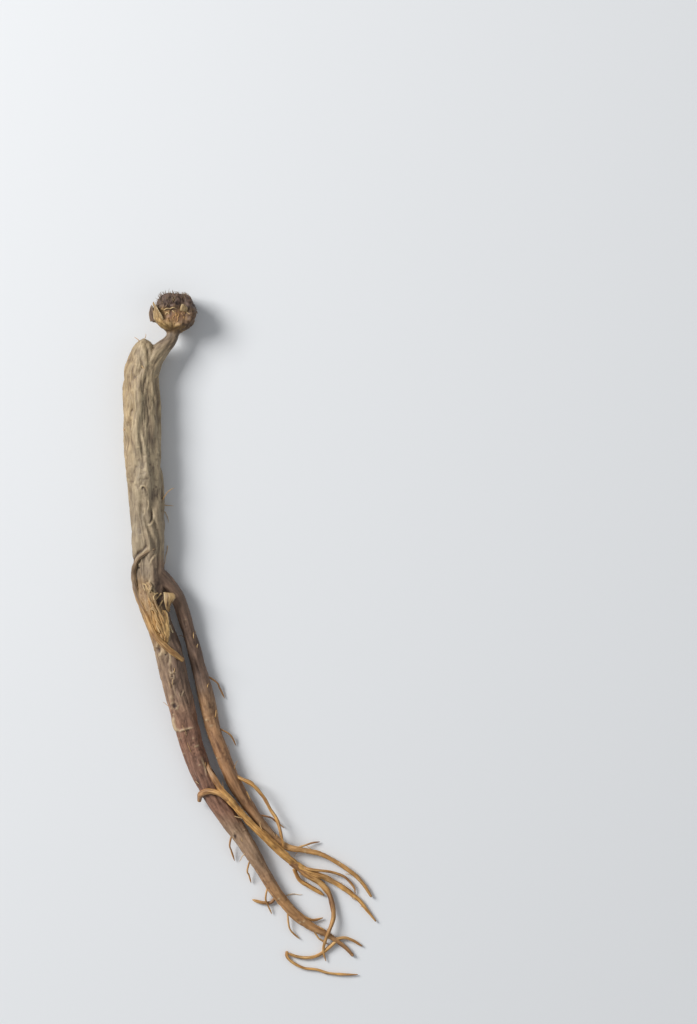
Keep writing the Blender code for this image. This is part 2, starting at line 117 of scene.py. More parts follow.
# %% The golden roots and rootlets
STRAP = (
    (-21.6, 19.6, 6.6, 0.32), (-24.0, 18.4, 6.95, 0.38), (-26.0, 16.4, 6.15, 0.5), (-26.5, 13.0, 5.3, 0.62),
    (-25.3, 8.0, 5.6, 0.66), (-23.5, 4.5, 6.6, 0.7), (-21.5, -0.1, 7.6, 0.78), (-19.2, -2.6, 8.1, 0.72),
    (-17.1, -4.3, 8.0, 0.68), (-15.1, -5.9, 7.2, 0.6),
)
GOLDEN_ROOT = (
    (-9.9, -29.6, 3.2, 0.45), (-8.8, -31.8, 4.7, 0.65), (-6.6, -35.4, 5.3, 0.8), (-4.4, -38.0, 4.9, 0.9),
    (-2.0, -40.9, 4.4, 0.85), (1.0, -44.2, 3.9, 0.9), (4.0, -46.9, 3.5, 1.0), (6.4, -49.4, 2.9, 1.0),
    (9.1, -51.9, 2.2, 0.95), (12.2, -54.1, 1.6, 0.85), (15.3, -55.5, 1.3, 0.75), (17.6, -56.3, 1.1, 0.65),
    (21.2, -58.3, 0.9, 0.6), (24.9, -61.1, 0.75, 0.52), (27.4, -64.1, 0.65, 0.45), (29.2, -66.4, 0.55, 0.38),
)
HOOK = (
    (-11.5, -38.5, 2.0, 0.45), (-11.2, -37.2, 3.1, 0.75), (-10.2, -36.4, 4.4, 0.8), (-8.6, -36.1, 5.2, 0.75),
    (-6.6, -36.7, 5.5, 0.75), (-4.2, -38.2, 5.0, 0.7),
)
ROOTLETS = {
    "inner_arc": (
        (12.4, -54.0, 1.8, 0.36), (14.8, -54.4, 2.1, 0.36), (18.7, -54.9, 1.5, 0.34),
        (21.9, -56.1, 1.0, 0.33), (24.0, -58.3, 0.7, 0.31), (24.5, -59.9, 0.5, 0.3),
    ),
    "long_drop": (
        (9.6, -52.6, 2.1, 0.8), (13.6, -55.7, 1.5, 0.8), (16.2, -57.3, 1.3, 0.75), (18.2, -59.7, 1.1, 0.7),
        (19.2, -62.7, 1.1, 0.62), (19.4, -65.6, 1.5, 0.55), (18.4, -68.6, 1.9, 0.5),
        (17.5, -70.9, 1.3, 0.42), (17.1, -73.3, 0.8, 0.38), (17.7, -75.6, 0.5, 0.32),
    ),
    "short_cut": (
        (10.4, -54.2, 1.5, 0.5), (11.6, -56.8, 1.1, 0.5), (13.7, -58.2, 0.9, 0.5), (15.7, -59.4, 0.7, 0.48),
        (17.2, -60.4, 0.65, 0.44),
    ),
    "over_side_leg": (
        (-3.0, -32.8, 2.6, 0.4), (0.6, -34.6, 3.4, 0.45), (3.2, -37.4, 2.8, 0.42), (4.9, -40.4, 2.4, 0.42),
        (6.5, -43.0, 2.7, 0.42), (7.3, -45.9, 3.0, 0.4), (7.9, -49.0, 2.9, 0.34),
    ),
    "curl_back": (
        (20.2, -70.8, 0.8, 0.45), (18.2, -72.6, 0.6, 0.45), (16.2, -74.1, 0.55, 0.42),
        (13.7, -74.8, 0.55, 0.4), (11.2, -74.6, 0.6, 0.4), (8.7, -73.7, 0.7, 0.4),
    ),
    "curl_out": (
        (8.7, -73.4, 0.7, 0.4), (8.7, -74.5, 0.7, 0.38), (9.9, -75.8, 0.65, 0.36),
        (12.4, -77.1, 0.6, 0.34), (15.7, -77.6, 0.5, 0.34), (18.4, -78.4, 0.5, 0.33),
        (22.4, -78.7, 0.5, 0.32), (25.0, -78.7, 0.5, 0.3),
    ),
    "tail_fork": (
        (19.6, -70.6, 0.9, 0.42), (21.9, -70.2, 0.9, 0.38),
        (23.9, -70.8, 0.8, 0.35), (26.1, -72.2, 0.5, 0.31),
    ),
    "broken_spur": (
        (6.8, -59.8, 1.4, 0.42), (5.8, -61.2, 0.9, 0.42), (4.8, -62.1, 0.6, 0.42), (2.6, -62.0, 0.55, 0.4),
        (0.7, -61.4, 0.5, 0.36),
    ),
    "tail_spur": (
        (9.4, -62.6, 1.8, 0.35), (11.8, -64.6, 1.6, 0.34), (13.2, -65.6, 1.2, 0.33),
        (14.9, -66.1, 0.8, 0.32), (17.0, -65.6, 0.6, 0.3),
    ),
}
STRANDS = {
    "strand_left": (
        (-23.7, 11.2, 6.6, 0.2), (-23.0, 9.2, 7.2, 0.26), (-22.0, 6.2, 7.6, 0.46), (-20.8, 3.0, 7.8, 0.6),
        (-19.6, 0.0, 7.5, 0.5), (-18.8, -2.1, 7.1, 0.35),
    ),
    "strand_right": (
        (-22.6, 10.4, 6.9, 0.18), (-21.8, 8.7, 7.3, 0.24), (-21.2, 6.8, 7.7, 0.34), (-20.2, 4.4, 7.9, 0.5),
        (-19.3, 1.6, 7.6, 0.5), (-18.8, -0.9, 7.2, 0.36),
    ),
    "strand_curl": (
        (-22.5, 4.4, 7.2, 0.35), (-22.5, 5.5, 7.7, 0.38), (-21.9, 6.0, 8.2, 0.38), (-21.3, 5.2, 8.3, 0.38),
        (-20.9, 3.8, 8.1, 0.36), (-20.2, 2.4, 7.9, 0.34),
    ),
}
print(len(ROOTLETS) + len(STRANDS) + 3, "golden roots, rootlets and strands")

# %% [markdown]
# ## From knots to a smooth line
#
# A Catmull-Rom curve passes through every knot and bends evenly between them. The radius rides along as a
# fourth coordinate, so a limb swells and tapers as smoothly as it bends. Each point of the line then gets
# three directions: along the limb, across it, and above it.

# %% Smooth lines with their directions
def smooth_route(knots, step):
    """A smooth line through the knots, with their radii, sampled about every step mm."""
    route = [Vector(knot) for knot in knots]
    route = [2 * route[0] - route[1], *route, 2 * route[-1] - route[-2]]
    line = []
    for before, start, end, after in zip(route, route[1:], route[2:], route[3:]):
        count = max(1, round((end.xyz - start.xyz).length / step))
        for i in range(count):
            t = i / count
            line.append(
                start
                + (end - before) * (t / 2)
                + (2 * before - 5 * start + 4 * end - after) * (t * t / 2)
                + (3 * start - before - 3 * end + after) * (t**3 / 2)
            )
    line.append(route[-2])
    return line


def stations(knots, step):
    """(centre, radius, distance along, across, above) at each sample of a route."""
    line = smooth_route(knots, step)
    made, travelled = [], 0.0
    for i, knot in enumerate(line):
        behind, ahead = line[max(i - 1, 0)], line[min(i + 1, len(line) - 1)]
        travelled += (knot.xyz - behind.xyz).length
        along = (ahead.xyz - behind.xyz).normalized()
        across = along.cross(UP).normalized()
        made.append((knot.xyz, knot.w, travelled, across, across.cross(along)))
    return made


for limb_name, limb_knots in (("body", BODY), ("main leg", MAIN_LEG), ("side leg", SIDE_LEG)):
    print("the", limb_name, "is", round(stations(limb_knots, 1.0)[-1][2]), "mm long")

# %% [markdown]
# ## Furrows
#
# Steamed root shrinks as it dries, and its skin folds into furrows that run along the limb, wander, and
# end. Noise does this well if it is stretched along the limb, and if only the lines where it crosses zero
# are used: each such line becomes a furrow, and the width of the crossing its width. A second, slower
# noise makes the limb swell.

# %% The relief that the solid root has too
FURROW_DEPTH = 0.17
FURROWS_PER_MM = 0.52
FURROW_LENGTH = 14.0
FURROW_WANDER, WANDER_LENGTH = 0.5, 9.0
FURROW_SHARPNESS = 2.6
SWELLING = 0.075
SWELLING_LENGTH = 7.0
STUMP_DEPTH = 0.42


def ring_way(angle):
    """A place on a ring of radius 1, so that noise has no seam round a limb."""
    return Vector((math.cos(angle), math.sin(angle), 0.0))


def furrow_at(along_limb, angle, radius, seed):
    """1 in the bed of a furrow, 0 on the ridges."""
    drift = noise.noise(ring_way(angle) * 0.6 + Vector((seed, seed, along_limb / WANDER_LENGTH)))
    wander = angle + FURROW_WANDER * drift
    crossing = noise.noise(
        ring_way(wander) * FURROWS_PER_MM * radius + Vector((seed, 0.0, along_limb / FURROW_LENGTH))
    )
    return max(0.0, 1.0 - FURROW_SHARPNESS * abs(crossing))


def skin(along_limb, angle, radius, seed, depth):
    """How far the skin stands above the plain round section, in mm."""
    swelling = noise.noise(ring_way(angle) * 0.7 + Vector((0.0, seed, along_limb / SWELLING_LENGTH)))
    return radius * (SWELLING * swelling - depth * furrow_at(along_limb, angle, radius, seed))


thickest = max(knot[3] for knot in BODY)
print("furrows of the body are up to", round(FURROW_DEPTH * thickest, 2), "mm deep")


# %% Fine wrinkles, for close up
WRINKLE_DEPTH = 0.17
FIBRE_DEPTH = 0.09
GRAIN_DEPTH = 0.04
CREASE_DEPTH = 0.1
WRINKLES_PER_MM, WRINKLE_LENGTH = 1.15, 6.5
FIBRES_PER_MM, FIBRE_LENGTH = 1.9, 4.2
GRAINS_PER_MM = 2.2


def fine_relief(along_limb, angle, radius, seed):
    """(height in mm, 0 to 1 in the beds): crinkled wrinkles, fibres, grain and faint cross creases."""
    around = ring_way(angle) * radius
    calm = noise.noise(around * 0.12 + Vector((seed, 5.0, along_limb / 11.0)))
    sway = 0.35 * noise.noise(around * 0.5 + Vector((seed, 6.0, along_limb / 2.4)))
    swayed = Vector((sway, seed - sway, along_limb / WRINKLE_LENGTH))
    wrinkle = noise.noise(around * WRINKLES_PER_MM + swayed)
    wrinkled = max(0.0, 1.0 - 4.4 * abs(wrinkle)) * min(1.0, max(0.3, 0.8 + 1.8 * calm))
    fibre = noise.noise(around * FIBRES_PER_MM + Vector((seed + sway, 9.0, along_limb / FIBRE_LENGTH)))
    grain = noise.noise(around * GRAINS_PER_MM + Vector((seed, 3.0, along_limb * 1.3)))
    crease = noise.noise(ring_way(angle) * 1.3 + Vector((seed, 1.0, along_limb * 0.9 + 0.5 * wrinkle)))
    creased = max(0.0, 1.0 - 6.0 * abs(crease)) * max(0.0, min(1.0, 0.1 - 3.0 * calm))
    height = GRAIN_DEPTH * grain + FIBRE_DEPTH * fibre - WRINKLE_DEPTH * wrinkled - CREASE_DEPTH * creased
    return height, max(0.9 * wrinkled, creased, -1.4 * fibre)


# %% [markdown]
# ## Lofts
#
# A loft is a stack of rings with skin stretched between them. Its rings can differ all the way along,
# which is what a furrowed limb needs. The vertices carry notes for the material as attributes: `hollow`
# is deep in the furrows, `gold`, `amber`, `red`, `pale` and `dark` say which kind of skin it is, and
# `grain` holds a place measured along and around the limb, so that a texture can run with the fibres.

# %% A collector for lofts
NOTES = ("hollow", "red", "gold", "amber", "pale", "dark")


class Skin:
    """Points, faces and notes of one piece, gathered from many lofts."""

    def __init__(self):
        self.points, self.faces, self.grain = [], [], []
        self.notes = {note: [] for note in NOTES}

    def point(self, place, grain, **notes):
        """Adds a vertex with its notes and returns its number."""
        self.points.append(tuple(place))
        self.grain.append(tuple(grain))
        for note in NOTES:
            self.notes[note].append(notes.get(note, 0.0))
        return len(self.points) - 1

    def close(self, rows, first, last):
        """Faces between the rings, and a fan to a point at each end."""
        sides = len(rows[0])
        for here, there in zip(rows, rows[1:]):
            for i in range(sides):
                j = (i + 1) % sides
                self.faces.append((here[i], there[i], there[j], here[j]))
        for i in range(sides):
            j = (i + 1) % sides
            self.faces.append((first, rows[0][i], rows[0][j]))
            self.faces.append((last, rows[-1][j], rows[-1][i]))


TIP_START = 0.8  # share of a limb's length after which its tip thins
TIP_ROUNDING = 0.5  # in radii, how far the middle of an end stands out


def plain_tint(share, place):
    return {}


def loft(into, knots, sides, step, shape, seed, tint=plain_tint, thin_tip=0.0):
    """Adds a limb: shape gives (height, hollow), tint the kinds of skin; thin_tip narrows its end."""
    line = stations(knots, step)
    whole = line[-1][2]
    rows = []
    for centre, radius, travelled, across, above in line:
        share = travelled / whole
        radius *= 1.0 - thin_tip * max(0.0, (share - TIP_START) / (1.0 - TIP_START)) ** 2
        notes = tint(share, centre)
        row = []
        for k in range(sides):
            angle = 2 * math.pi * k / sides
            height, hollow = shape(travelled, angle, radius, seed)
            outward = across * math.cos(angle) + above * math.sin(angle)
            grain = (*(ring_way(angle) * radius).xy, travelled + seed)
            row.append(into.point(centre + outward * (radius + height), grain, hollow=hollow, **notes))
        rows.append(row)
    ends = []
    root_end = (line[0], line[1], 0.0, 1.0)
    tip_end = (line[-1], line[-2], 1.0, 1.0 - thin_tip)
    for tip, inner, share, reach in (root_end, tip_end):
        outward = (tip[0] - inner[0]).normalized()
        notes = tint(share, tip[0])
        middle = tip[0] + outward * tip[1] * reach * TIP_ROUNDING
        ends.append(into.point(middle, (0.0, 0.0, tip[2] + seed), **notes))
    into.close(rows, *ends)


def coarse_shape(depth):
    """The relief of a thick limb, for the fused core."""
    return lambda along_limb, angle, radius, seed: (skin(along_limb, angle, radius, seed, depth), 0.0)


# %% [markdown]
# ## The head
#
# The head is what is left of the stem's foot. From the side it is a shallow golden cup on the neck, lumpy
# all round, with a dark rough stub in it where the stem broke away. It is another loft, round an axis
# that leans a little. On its upper side an oval hollow with a raised rim is the scar of an older stem.

# %% The cup, the stub and the stem scar
HEAD_FOOT = Vector((-17.4, 69.2, 4.4))
HEAD_AXIS = Vector((0.07, 1.0, 0.02)).normalized()
HEAD_ACROSS = HEAD_AXIS.cross(UP).normalized()
HEAD_FLATNESS = 0.86
HEAD_ABOVE = HEAD_ACROSS.cross(HEAD_AXIS) * HEAD_FLATNESS
HEAD_PROFILE = (  # height up the axis and radius, in mm
    (0.0, 1.5), (0.8, 2.5), (1.6, 3.8), (2.5, 4.6), (3.7, 5.0), (4.9, 5.1), (5.6, 4.8),
    (6.2, 4.3), (6.5, 4.0), (7.2, 4.1), (8.0, 3.8), (8.7, 3.0), (9.1, 1.9), (9.0, 0.9),
)
HEAD_END = 8.9
HEAD_RIM = 6.0
HEAD_SEED = 3.0
CUP_LUMPS, STUB_LUMPS = 0.2, 0.34
RAGGEDNESS = 0.15
SCAR_CENTRE = (-16.9, 73.1)
SCAR_HALF = (3.3, 1.9)
SCAR_DEPTH, SCAR_RIM = 1.0, 0.4
RIM_PLACE, RIM_WIDTH = 1.25, 0.3  # in half sizes of the scar
KNOB_SEED = 8.6
HEAD_KNOBS = {
    "knob_right": ((-13.9, 73.2, 6.2, 0.6), (-13.5, 74.6, 6.9, 0.9), (-13.8, 75.8, 6.9, 0.6)),
    "knob_ridge": ((-19.6, 74.7, 7.2, 0.45), (-18.0, 75.2, 8.0, 0.5), (-16.4, 74.9, 8.0, 0.4)),
    "knob_left": ((-21.5, 71.8, 4.6, 0.8), (-22.1, 73.4, 4.6, 0.9), (-22.0, 75.0, 4.4, 0.6)),
}


def scar_shares(place):
    """(bed, rim): 1 in the bed of the stem scar, and 1 on its rim."""
    if place.z < HEAD_FOOT.z:
        return 0.0, 0.0
    apart = math.hypot((place.x - SCAR_CENTRE[0]) / SCAR_HALF[0], (place.y - SCAR_CENTRE[1]) / SCAR_HALF[1])
    return math.exp(-(apart**4)), math.exp(-(((apart - RIM_PLACE) / RIM_WIDTH) ** 2))


def head_point(height, radius, angle):
    """A point of the head's lumpy surface."""
    around = ring_way(angle)
    lump = noise.noise(around * 1.9 + Vector((HEAD_SEED, 0.0, height / 2.6)))
    ragged = noise.noise(around * 2.6 + Vector((0.0, HEAD_SEED, 0.0)))
    spoke = radius * (1.0 + (CUP_LUMPS if height < HEAD_RIM else STUB_LUMPS) * lump)
    lift = height + RAGGEDNESS * radius * ragged
    place = HEAD_FOOT + HEAD_AXIS * lift + (HEAD_ACROSS * around.x + HEAD_ABOVE * around.y) * spoke
    bed, rim = scar_shares(place)
    return place + UP * (SCAR_RIM * rim - SCAR_DEPTH * bed)


def loft_head(into, sides, step):
    """Rings up the head's axis, from its foot on the neck to the top of the stub."""
    profile = smooth_route([(height, radius, 0.0, 0.0) for height, radius in HEAD_PROFILE], step)
    rows = []
    for knot in profile:
        row = []
        for k in range(sides):
            row.append(into.point(head_point(knot.x, knot.y, 2 * math.pi * k / sides), (0, 0, 0)))
        rows.append(row)
    first = into.point(HEAD_FOOT - HEAD_AXIS * 0.6, (0, 0, 0))
    into.close(rows, first, into.point(HEAD_FOOT + HEAD_AXIS * HEAD_END, (0, 0, 0)))


print("the head is about", 2 * max(radius for _, radius in HEAD_PROFILE), "mm wide")


# %% [markdown]
# ## One fused core
#
# Head, neck, body and legs grew as one piece, so no seam may show where they meet. A voxel remesh does
# this: it fills the overlapping lofts with tiny cubes and wraps one new skin round them all. It works in
# whole millimetres here, because its cubes have a lower limit, and the piece is scaled to metres at the
# very end.

# %% Loft the thick limbs and wrap one skin round them
VOXEL = 0.245
LEAST_SIDES, SIDES_PER_MM = 28, 20
HEAD_SIDES, KNOB_SIDES = 110, 20
LIMBS = {  # route, seed of its noise, depth of its furrows
    "body": (BODY, 1.3, FURROW_DEPTH),
    "main_leg": (MAIN_LEG, 4.1, FURROW_DEPTH),
    "side_leg": (SIDE_LEG, 7.7, FURROW_DEPTH),
    "neck": (NECK, 2.2, FURROW_DEPTH),
    "stump": (STUMP, 5.4, STUMP_DEPTH),
}


def bare_mesh(name, made):
    """A mesh of the points and faces that a Skin has gathered."""
    mesh = bpy.data.meshes.new(name)
    mesh.from_pydata(made.points, [], made.faces)
    return mesh


def wrapped(name, mesh, voxel):
    """The mesh with one new skin round all its overlapping parts."""
    holder = bpy.data.objects.new(name, mesh)
    bpy.context.scene.collection.objects.link(holder)
    remesh = holder.modifiers.new("wrap", "REMESH")
    remesh.mode = "VOXEL"
    remesh.voxel_size = voxel
    soften = holder.modifiers.new("soften", "SMOOTH")
    soften.factor = 0.5
    soften.iterations = 2
    graph = bpy.context.evaluated_depsgraph_get()
    skin_mesh = bpy.data.meshes.new_from_object(holder.evaluated_get(graph))
    bpy.data.objects.remove(holder)
    return skin_mesh


plain = Skin()
for knots, seed, depth in LIMBS.values():
    thickest = max(knot[3] for knot in knots)
    sides = round(LEAST_SIDES + SIDES_PER_MM * thickest)
    loft(plain, knots, sides, step=0.5, shape=coarse_shape(depth), seed=seed)
for knots in HEAD_KNOBS.values():
    loft(plain, knots, KNOB_SIDES, step=0.3, shape=coarse_shape(FURROW_DEPTH), seed=KNOB_SEED)
loft_head(plain, HEAD_SIDES, step=0.3)
core_mesh = wrapped("core", bare_mesh("core", plain), VOXEL)
print("core:", len(core_mesh.vertices), "vertices,", len(core_mesh.polygons), "faces")

# %% [markdown]
# ## Where on the root is each vertex?
#
# The new skin has lost its limbs, and the fine wrinkles need them. So each vertex looks for the nearest
# point of every limb's line, and from that come its distance along the limb and its angle round it. Near
# a fork two limbs are about equally near, and both have a say, in shares that fade into each other.

# %% Find the limbs again
LEAST_RADIUS = 0.5  # mm, so that a thin tip still draws the vertices near it


class LimbFinder:
    """Looks up where a place lies on one limb."""

    def __init__(self, knots, seed):
        self.line = stations(knots, 0.4)
        self.seed = seed
        self.tree = KDTree(len(self.line))
        for i, station in enumerate(self.line):
            self.tree.insert(station[0], i)
        self.tree.balance()

    def find(self, place):
        """(distance in radii, distance along, angle, radius)"""
        centre, i, _ = self.tree.find(place)
        _, radius, travelled, across, above = self.line[i]
        offset = place - centre
        angle = math.atan2(offset.dot(above), offset.dot(across))
        return offset.length / max(radius, LEAST_RADIUS), travelled, angle, radius


SHARE_SHARPNESS = 9.0
LEAST_SHARE = 0.03
finders = {name: LimbFinder(knots, seed) for name, (knots, seed, _) in LIMBS.items()}
print("limbs to search:", ", ".join(finders))

# %% [markdown]
# ## Scars, folds and lenticels
#
# Three kinds of small marks tell a root from a stick. Scars are pits where a rootlet broke off. Folds are
# raised lines where dry skin tore and healed. Lenticels are tiny pale bars across the limb, through which
# the root breathed. Scars and folds are set one by one where the real root has them, and lenticels are
# strewn by a seeded draw.

# %% Scars, in mm: x, y, half width, half length, depth of the pit (a bump if negative), height of the rim
MARKS = (
    (-20.8, -3.5, 0.55, 0.8, 0.7, 0.15),
    (-19.5, -3.9, 0.6, 0.6, -0.3, 0.0),
    (-19.0, -4.6, 0.25, 0.25, 0.15, 0.15),
    (-17.6, -9.6, 0.22, 0.3, 0.2, 0.3),
    (-16.9, -9.1, 0.18, 0.22, 0.14, 0.22),
    (-17.3, -8.1, 0.2, 0.25, 0.14, 0.12),
    (-17.7, -14.5, 0.4, 0.5, -0.22, 0.0),
    (-17.0, -16.4, 0.5, 0.55, 0.05, 0.1),
    (-25.3, 16.1, 0.35, 0.3, -0.25, 0.0),
    (-25.2, 15.3, 0.3, 0.2, 0.1, 0.0),
    (-20.5, 7.8, 0.6, 1.3, 0.5, 0.0),
    (-23.5, 10.9, 0.2, 0.4, 0.3, 0.0),
    (-5.6, -35.3, 0.45, 0.6, -0.3, 0.0),
    (-9.2, -27.2, 0.3, 0.6, 0.12, 0.12),
    (-3.2, -46.6, 0.3, 0.6, 0.12, 0.12),
    (-26.8, 56.0, 0.4, 0.3, -0.15, 0.0),
)
MARK_REACH = 2.6


def mark_at(place):
    """(height in mm, pit, rim) of the scars at a place on the upper side."""
    height, pit_share, rim_share = 0.0, 0.0, 0.0
    for x, y, half_width, half_length, pit, rim in MARKS:
        across, along = (place.x - x) / half_width, (place.y - y) / half_length
        if abs(across) > MARK_REACH or abs(along) > MARK_REACH:
            continue
        apart = math.hypot(across, along) * (1.0 + 0.6 * noise.noise(place * 1.9))
        bed = math.exp(-apart * apart)
        lip = math.exp(-(((apart - 1.45) / 0.4) ** 2)) * max(0.0, 0.5 + 1.6 * noise.noise(place * 1.1))
        height += rim * lip - pit * bed
        if pit > 0.0:
            pit_share = max(pit_share, bed)
        rim_share = max(rim_share, lip if rim > 0.0 else 0.5 * bed * (pit < 0.0))
    return height, pit_share, rim_share


# %% Folds, in mm: points (x, y), half width, height, and how far the skin right of them sinks
FOLDS = (
    (((-24.9, 33.0), (-24.5, 34.0), (-23.7, 33.9), (-22.9, 32.5)), 0.2, 0.22, 0.3),
    (((-23.0, 31.0), (-22.9, 29.6), (-23.1, 28.4)), 0.16, 0.18, 0.15),
    (((-24.0, 29.0), (-23.8, 28.2), (-24.0, 27.2)), 0.18, 0.16, 0.1),
    (((-22.1, 29.4), (-21.8, 27.6), (-21.9, 26.2), (-22.6, 25.1), (-23.6, 25.4)), 0.2, 0.24, 0.25),
    (((-22.6, 20.2), (-24.1, 18.9), (-25.9, 17.2), (-26.4, 15.8)), 0.3, 0.1, 0.3),
    (((-21.1, 18.4), (-22.2, 17.2), (-22.7, 16.0)), 0.2, 0.16, 0.15),
    (((-27.2, 14.0), (-26.9, 10.0), (-25.9, 6.6)), 0.2, 0.15, 0.1),
    (((-22.9, 12.6), (-22.2, 10.8), (-21.4, 9.4)), 0.18, 0.25, 0.2),
    (((-18.2, -8.5), (-17.7, -8.9), (-17.0, -8.7), (-16.6, -9.3)), 0.17, 0.26, 0.1),
    (((-17.3, -9.2), (-17.1, -9.9), (-17.4, -10.5)), 0.15, 0.2, 0.1),
    (((-17.6, -11.2), (-17.0, -13.0), (-16.6, -14.6)), 0.2, 0.1, 0.1),
    (((-14.9, -12.9), (-15.4, -14.1)), 0.16, 0.24, 0.15),
    (((-15.9, -13.4), (-15.7, -14.2)), 0.13, 0.16, 0.05),
    (((-18.6, -2.6), (-18.0, -5.0), (-18.2, -7.4)), 0.2, 0.14, 0.15),
    (((-11.0, -28.0), (-10.2, -30.4), (-9.6, -32.6)), 0.2, 0.16, 0.15),
    (((-2.6, -49.2), (-1.2, -51.4), (-0.4, -53.8)), 0.18, 0.16, 0.12),
    (((-17.4, -19.0), (-17.3, -20.6), (-16.8, -21.8), (-15.9, -22.3)), 0.4, 0.35, 0.05),
    (((-16.2, -22.3), (-14.9, -21.9), (-13.2, -21.5)), 0.22, 0.3, 0.1),
)
FOLD_STEP = 0.12
FOLD_REACH = 1.0

fold_samples = []
for points, half_width, height, sink in FOLDS:
    fold_line = [place.xy for place in smooth_route([(x, y, 0.0, 0.0) for x, y in points], FOLD_STEP)]
    for i, (here, there) in enumerate(zip(fold_line, fold_line[1:])):
        way = (there - here).normalized()
        ends_fade = min(1.0, 4.0 * min(i + 1, len(fold_line) - i) / len(fold_line))
        fold_samples.append((here, way, half_width, height * ends_fade, sink * ends_fade))
fold_tree = KDTree(len(fold_samples))
for i, (here, *_) in enumerate(fold_samples):
    fold_tree.insert((here.x, here.y, 0.0), i)
fold_tree.balance()


def fold_at(place):
    """(height in mm, 1 on the crest, 1 in the sunken side, which gets painted shadow) of the folds at a
    place on the upper side.
    """
    _, i, apart = fold_tree.find((place.x, place.y, 0.0))
    if apart > FOLD_REACH:
        return 0.0, 0.0, 0.0
    here, way, half_width, lift, sink = fold_samples[i]
    offset = place.xy - here
    to_right = way.y * offset.x - way.x * offset.y
    crest = math.exp(-((apart / half_width) ** 2))
    beside = math.exp(-(((to_right / half_width - 1.9) / 1.1) ** 2)) if to_right > 0 else 0.0
    return lift * crest - sink * beside, crest * min(1.0, 6 * lift), beside * min(1.0, 4 * sink)


# %% Lenticels, strewn over the thick limbs
LENTICELS = {"body": 70, "main_leg": 60, "side_leg": 30}
LENTICEL_HEIGHT = 0.11
LENTICEL_REACH = 1.5
LENTICEL_SEED = 41

draw = random.Random(LENTICEL_SEED)
lenticels = []
for name, count in LENTICELS.items():
    line = stations(LIMBS[name][0], 0.5)
    for _ in range(count):
        i = draw.randrange(8, len(line) - 8)
        centre, radius, _, across, above = line[i]
        angle = draw.uniform(0, 2 * math.pi)
        place = centre + (across * math.cos(angle) + above * math.sin(angle)) * radius
        lenticels.append((place, across.cross(above), draw.uniform(0.12, 0.2), draw.uniform(0.25, 0.6)))
lenticel_tree = KDTree(len(lenticels))
for i, (place, *_) in enumerate(lenticels):
    lenticel_tree.insert(place, i)
lenticel_tree.balance()


def lenticel_at(place):
    """0 to 1 on the nearest lenticel, a bar that lies across its limb."""
    centre, i, apart = lenticel_tree.find(place)
    if apart > LENTICEL_REACH:
        return 0.0
    _, along, half_length, half_width = lenticels[i]
    lengthwise = (place - centre).dot(along)
    sideways = math.sqrt(max(0.0, apart * apart - lengthwise * lengthwise))
    return math.exp(-((lengthwise / half_length) ** 2) - (sideways / half_width) ** 2)


print(len(MARKS), "scars,", len(FOLDS), "folds and", len(lenticels), "lenticels")

# %% [markdown]
# ## Kinds of skin
#
# The body is tan and the legs redden as they thin. The head's lip and the broken stump are golden, and
# the thin tails and rootlets a warmer amber, because steam reached through them. Some bands of the body
# and legs are browner. Right of the stump and low on the main leg the skin is darkened and reddened as
# painted shade, and the left flank of the upper body, where the light falls, is painted more golden.
# The stub of the stem is nearly black. Each function below gives a share from 0 to 1 for every kind of
# skin at a place, and the numbers in its ramps are places on the root, in millimetres, between which one
# kind fades into the next.

# %% Which skin is where
def ramp(value, start, end):
    """0 before start, 1 after end, and smooth between them."""
    t = min(1.0, max(0.0, (value - start) / (end - start)))
    return t * t * (3 - 2 * t)


def head_place(place):
    """(height up the head's axis, distance from it, angle round it)"""
    offset = place - HEAD_FOOT
    height = offset.dot(HEAD_AXIS)
    x, z = offset.dot(HEAD_ACROSS), offset.dot(HEAD_ABOVE) / HEAD_FLATNESS**2
    return height, math.hypot(x, z), math.atan2(z, x)


STUMP_EDGE = ((-23.0, 14.0), (-21.6, 9.4), (-19.3, 5.0), (-18.3, 1.0), (-18.6, -1.5), (-18.0, -7.0))


def right_of_stump(place):
    """How far a place is right of the stump's torn edge, in mm."""
    across, along = zip(*reversed(STUMP_EDGE))
    return place.x - float(np.interp(place.y, along, across))


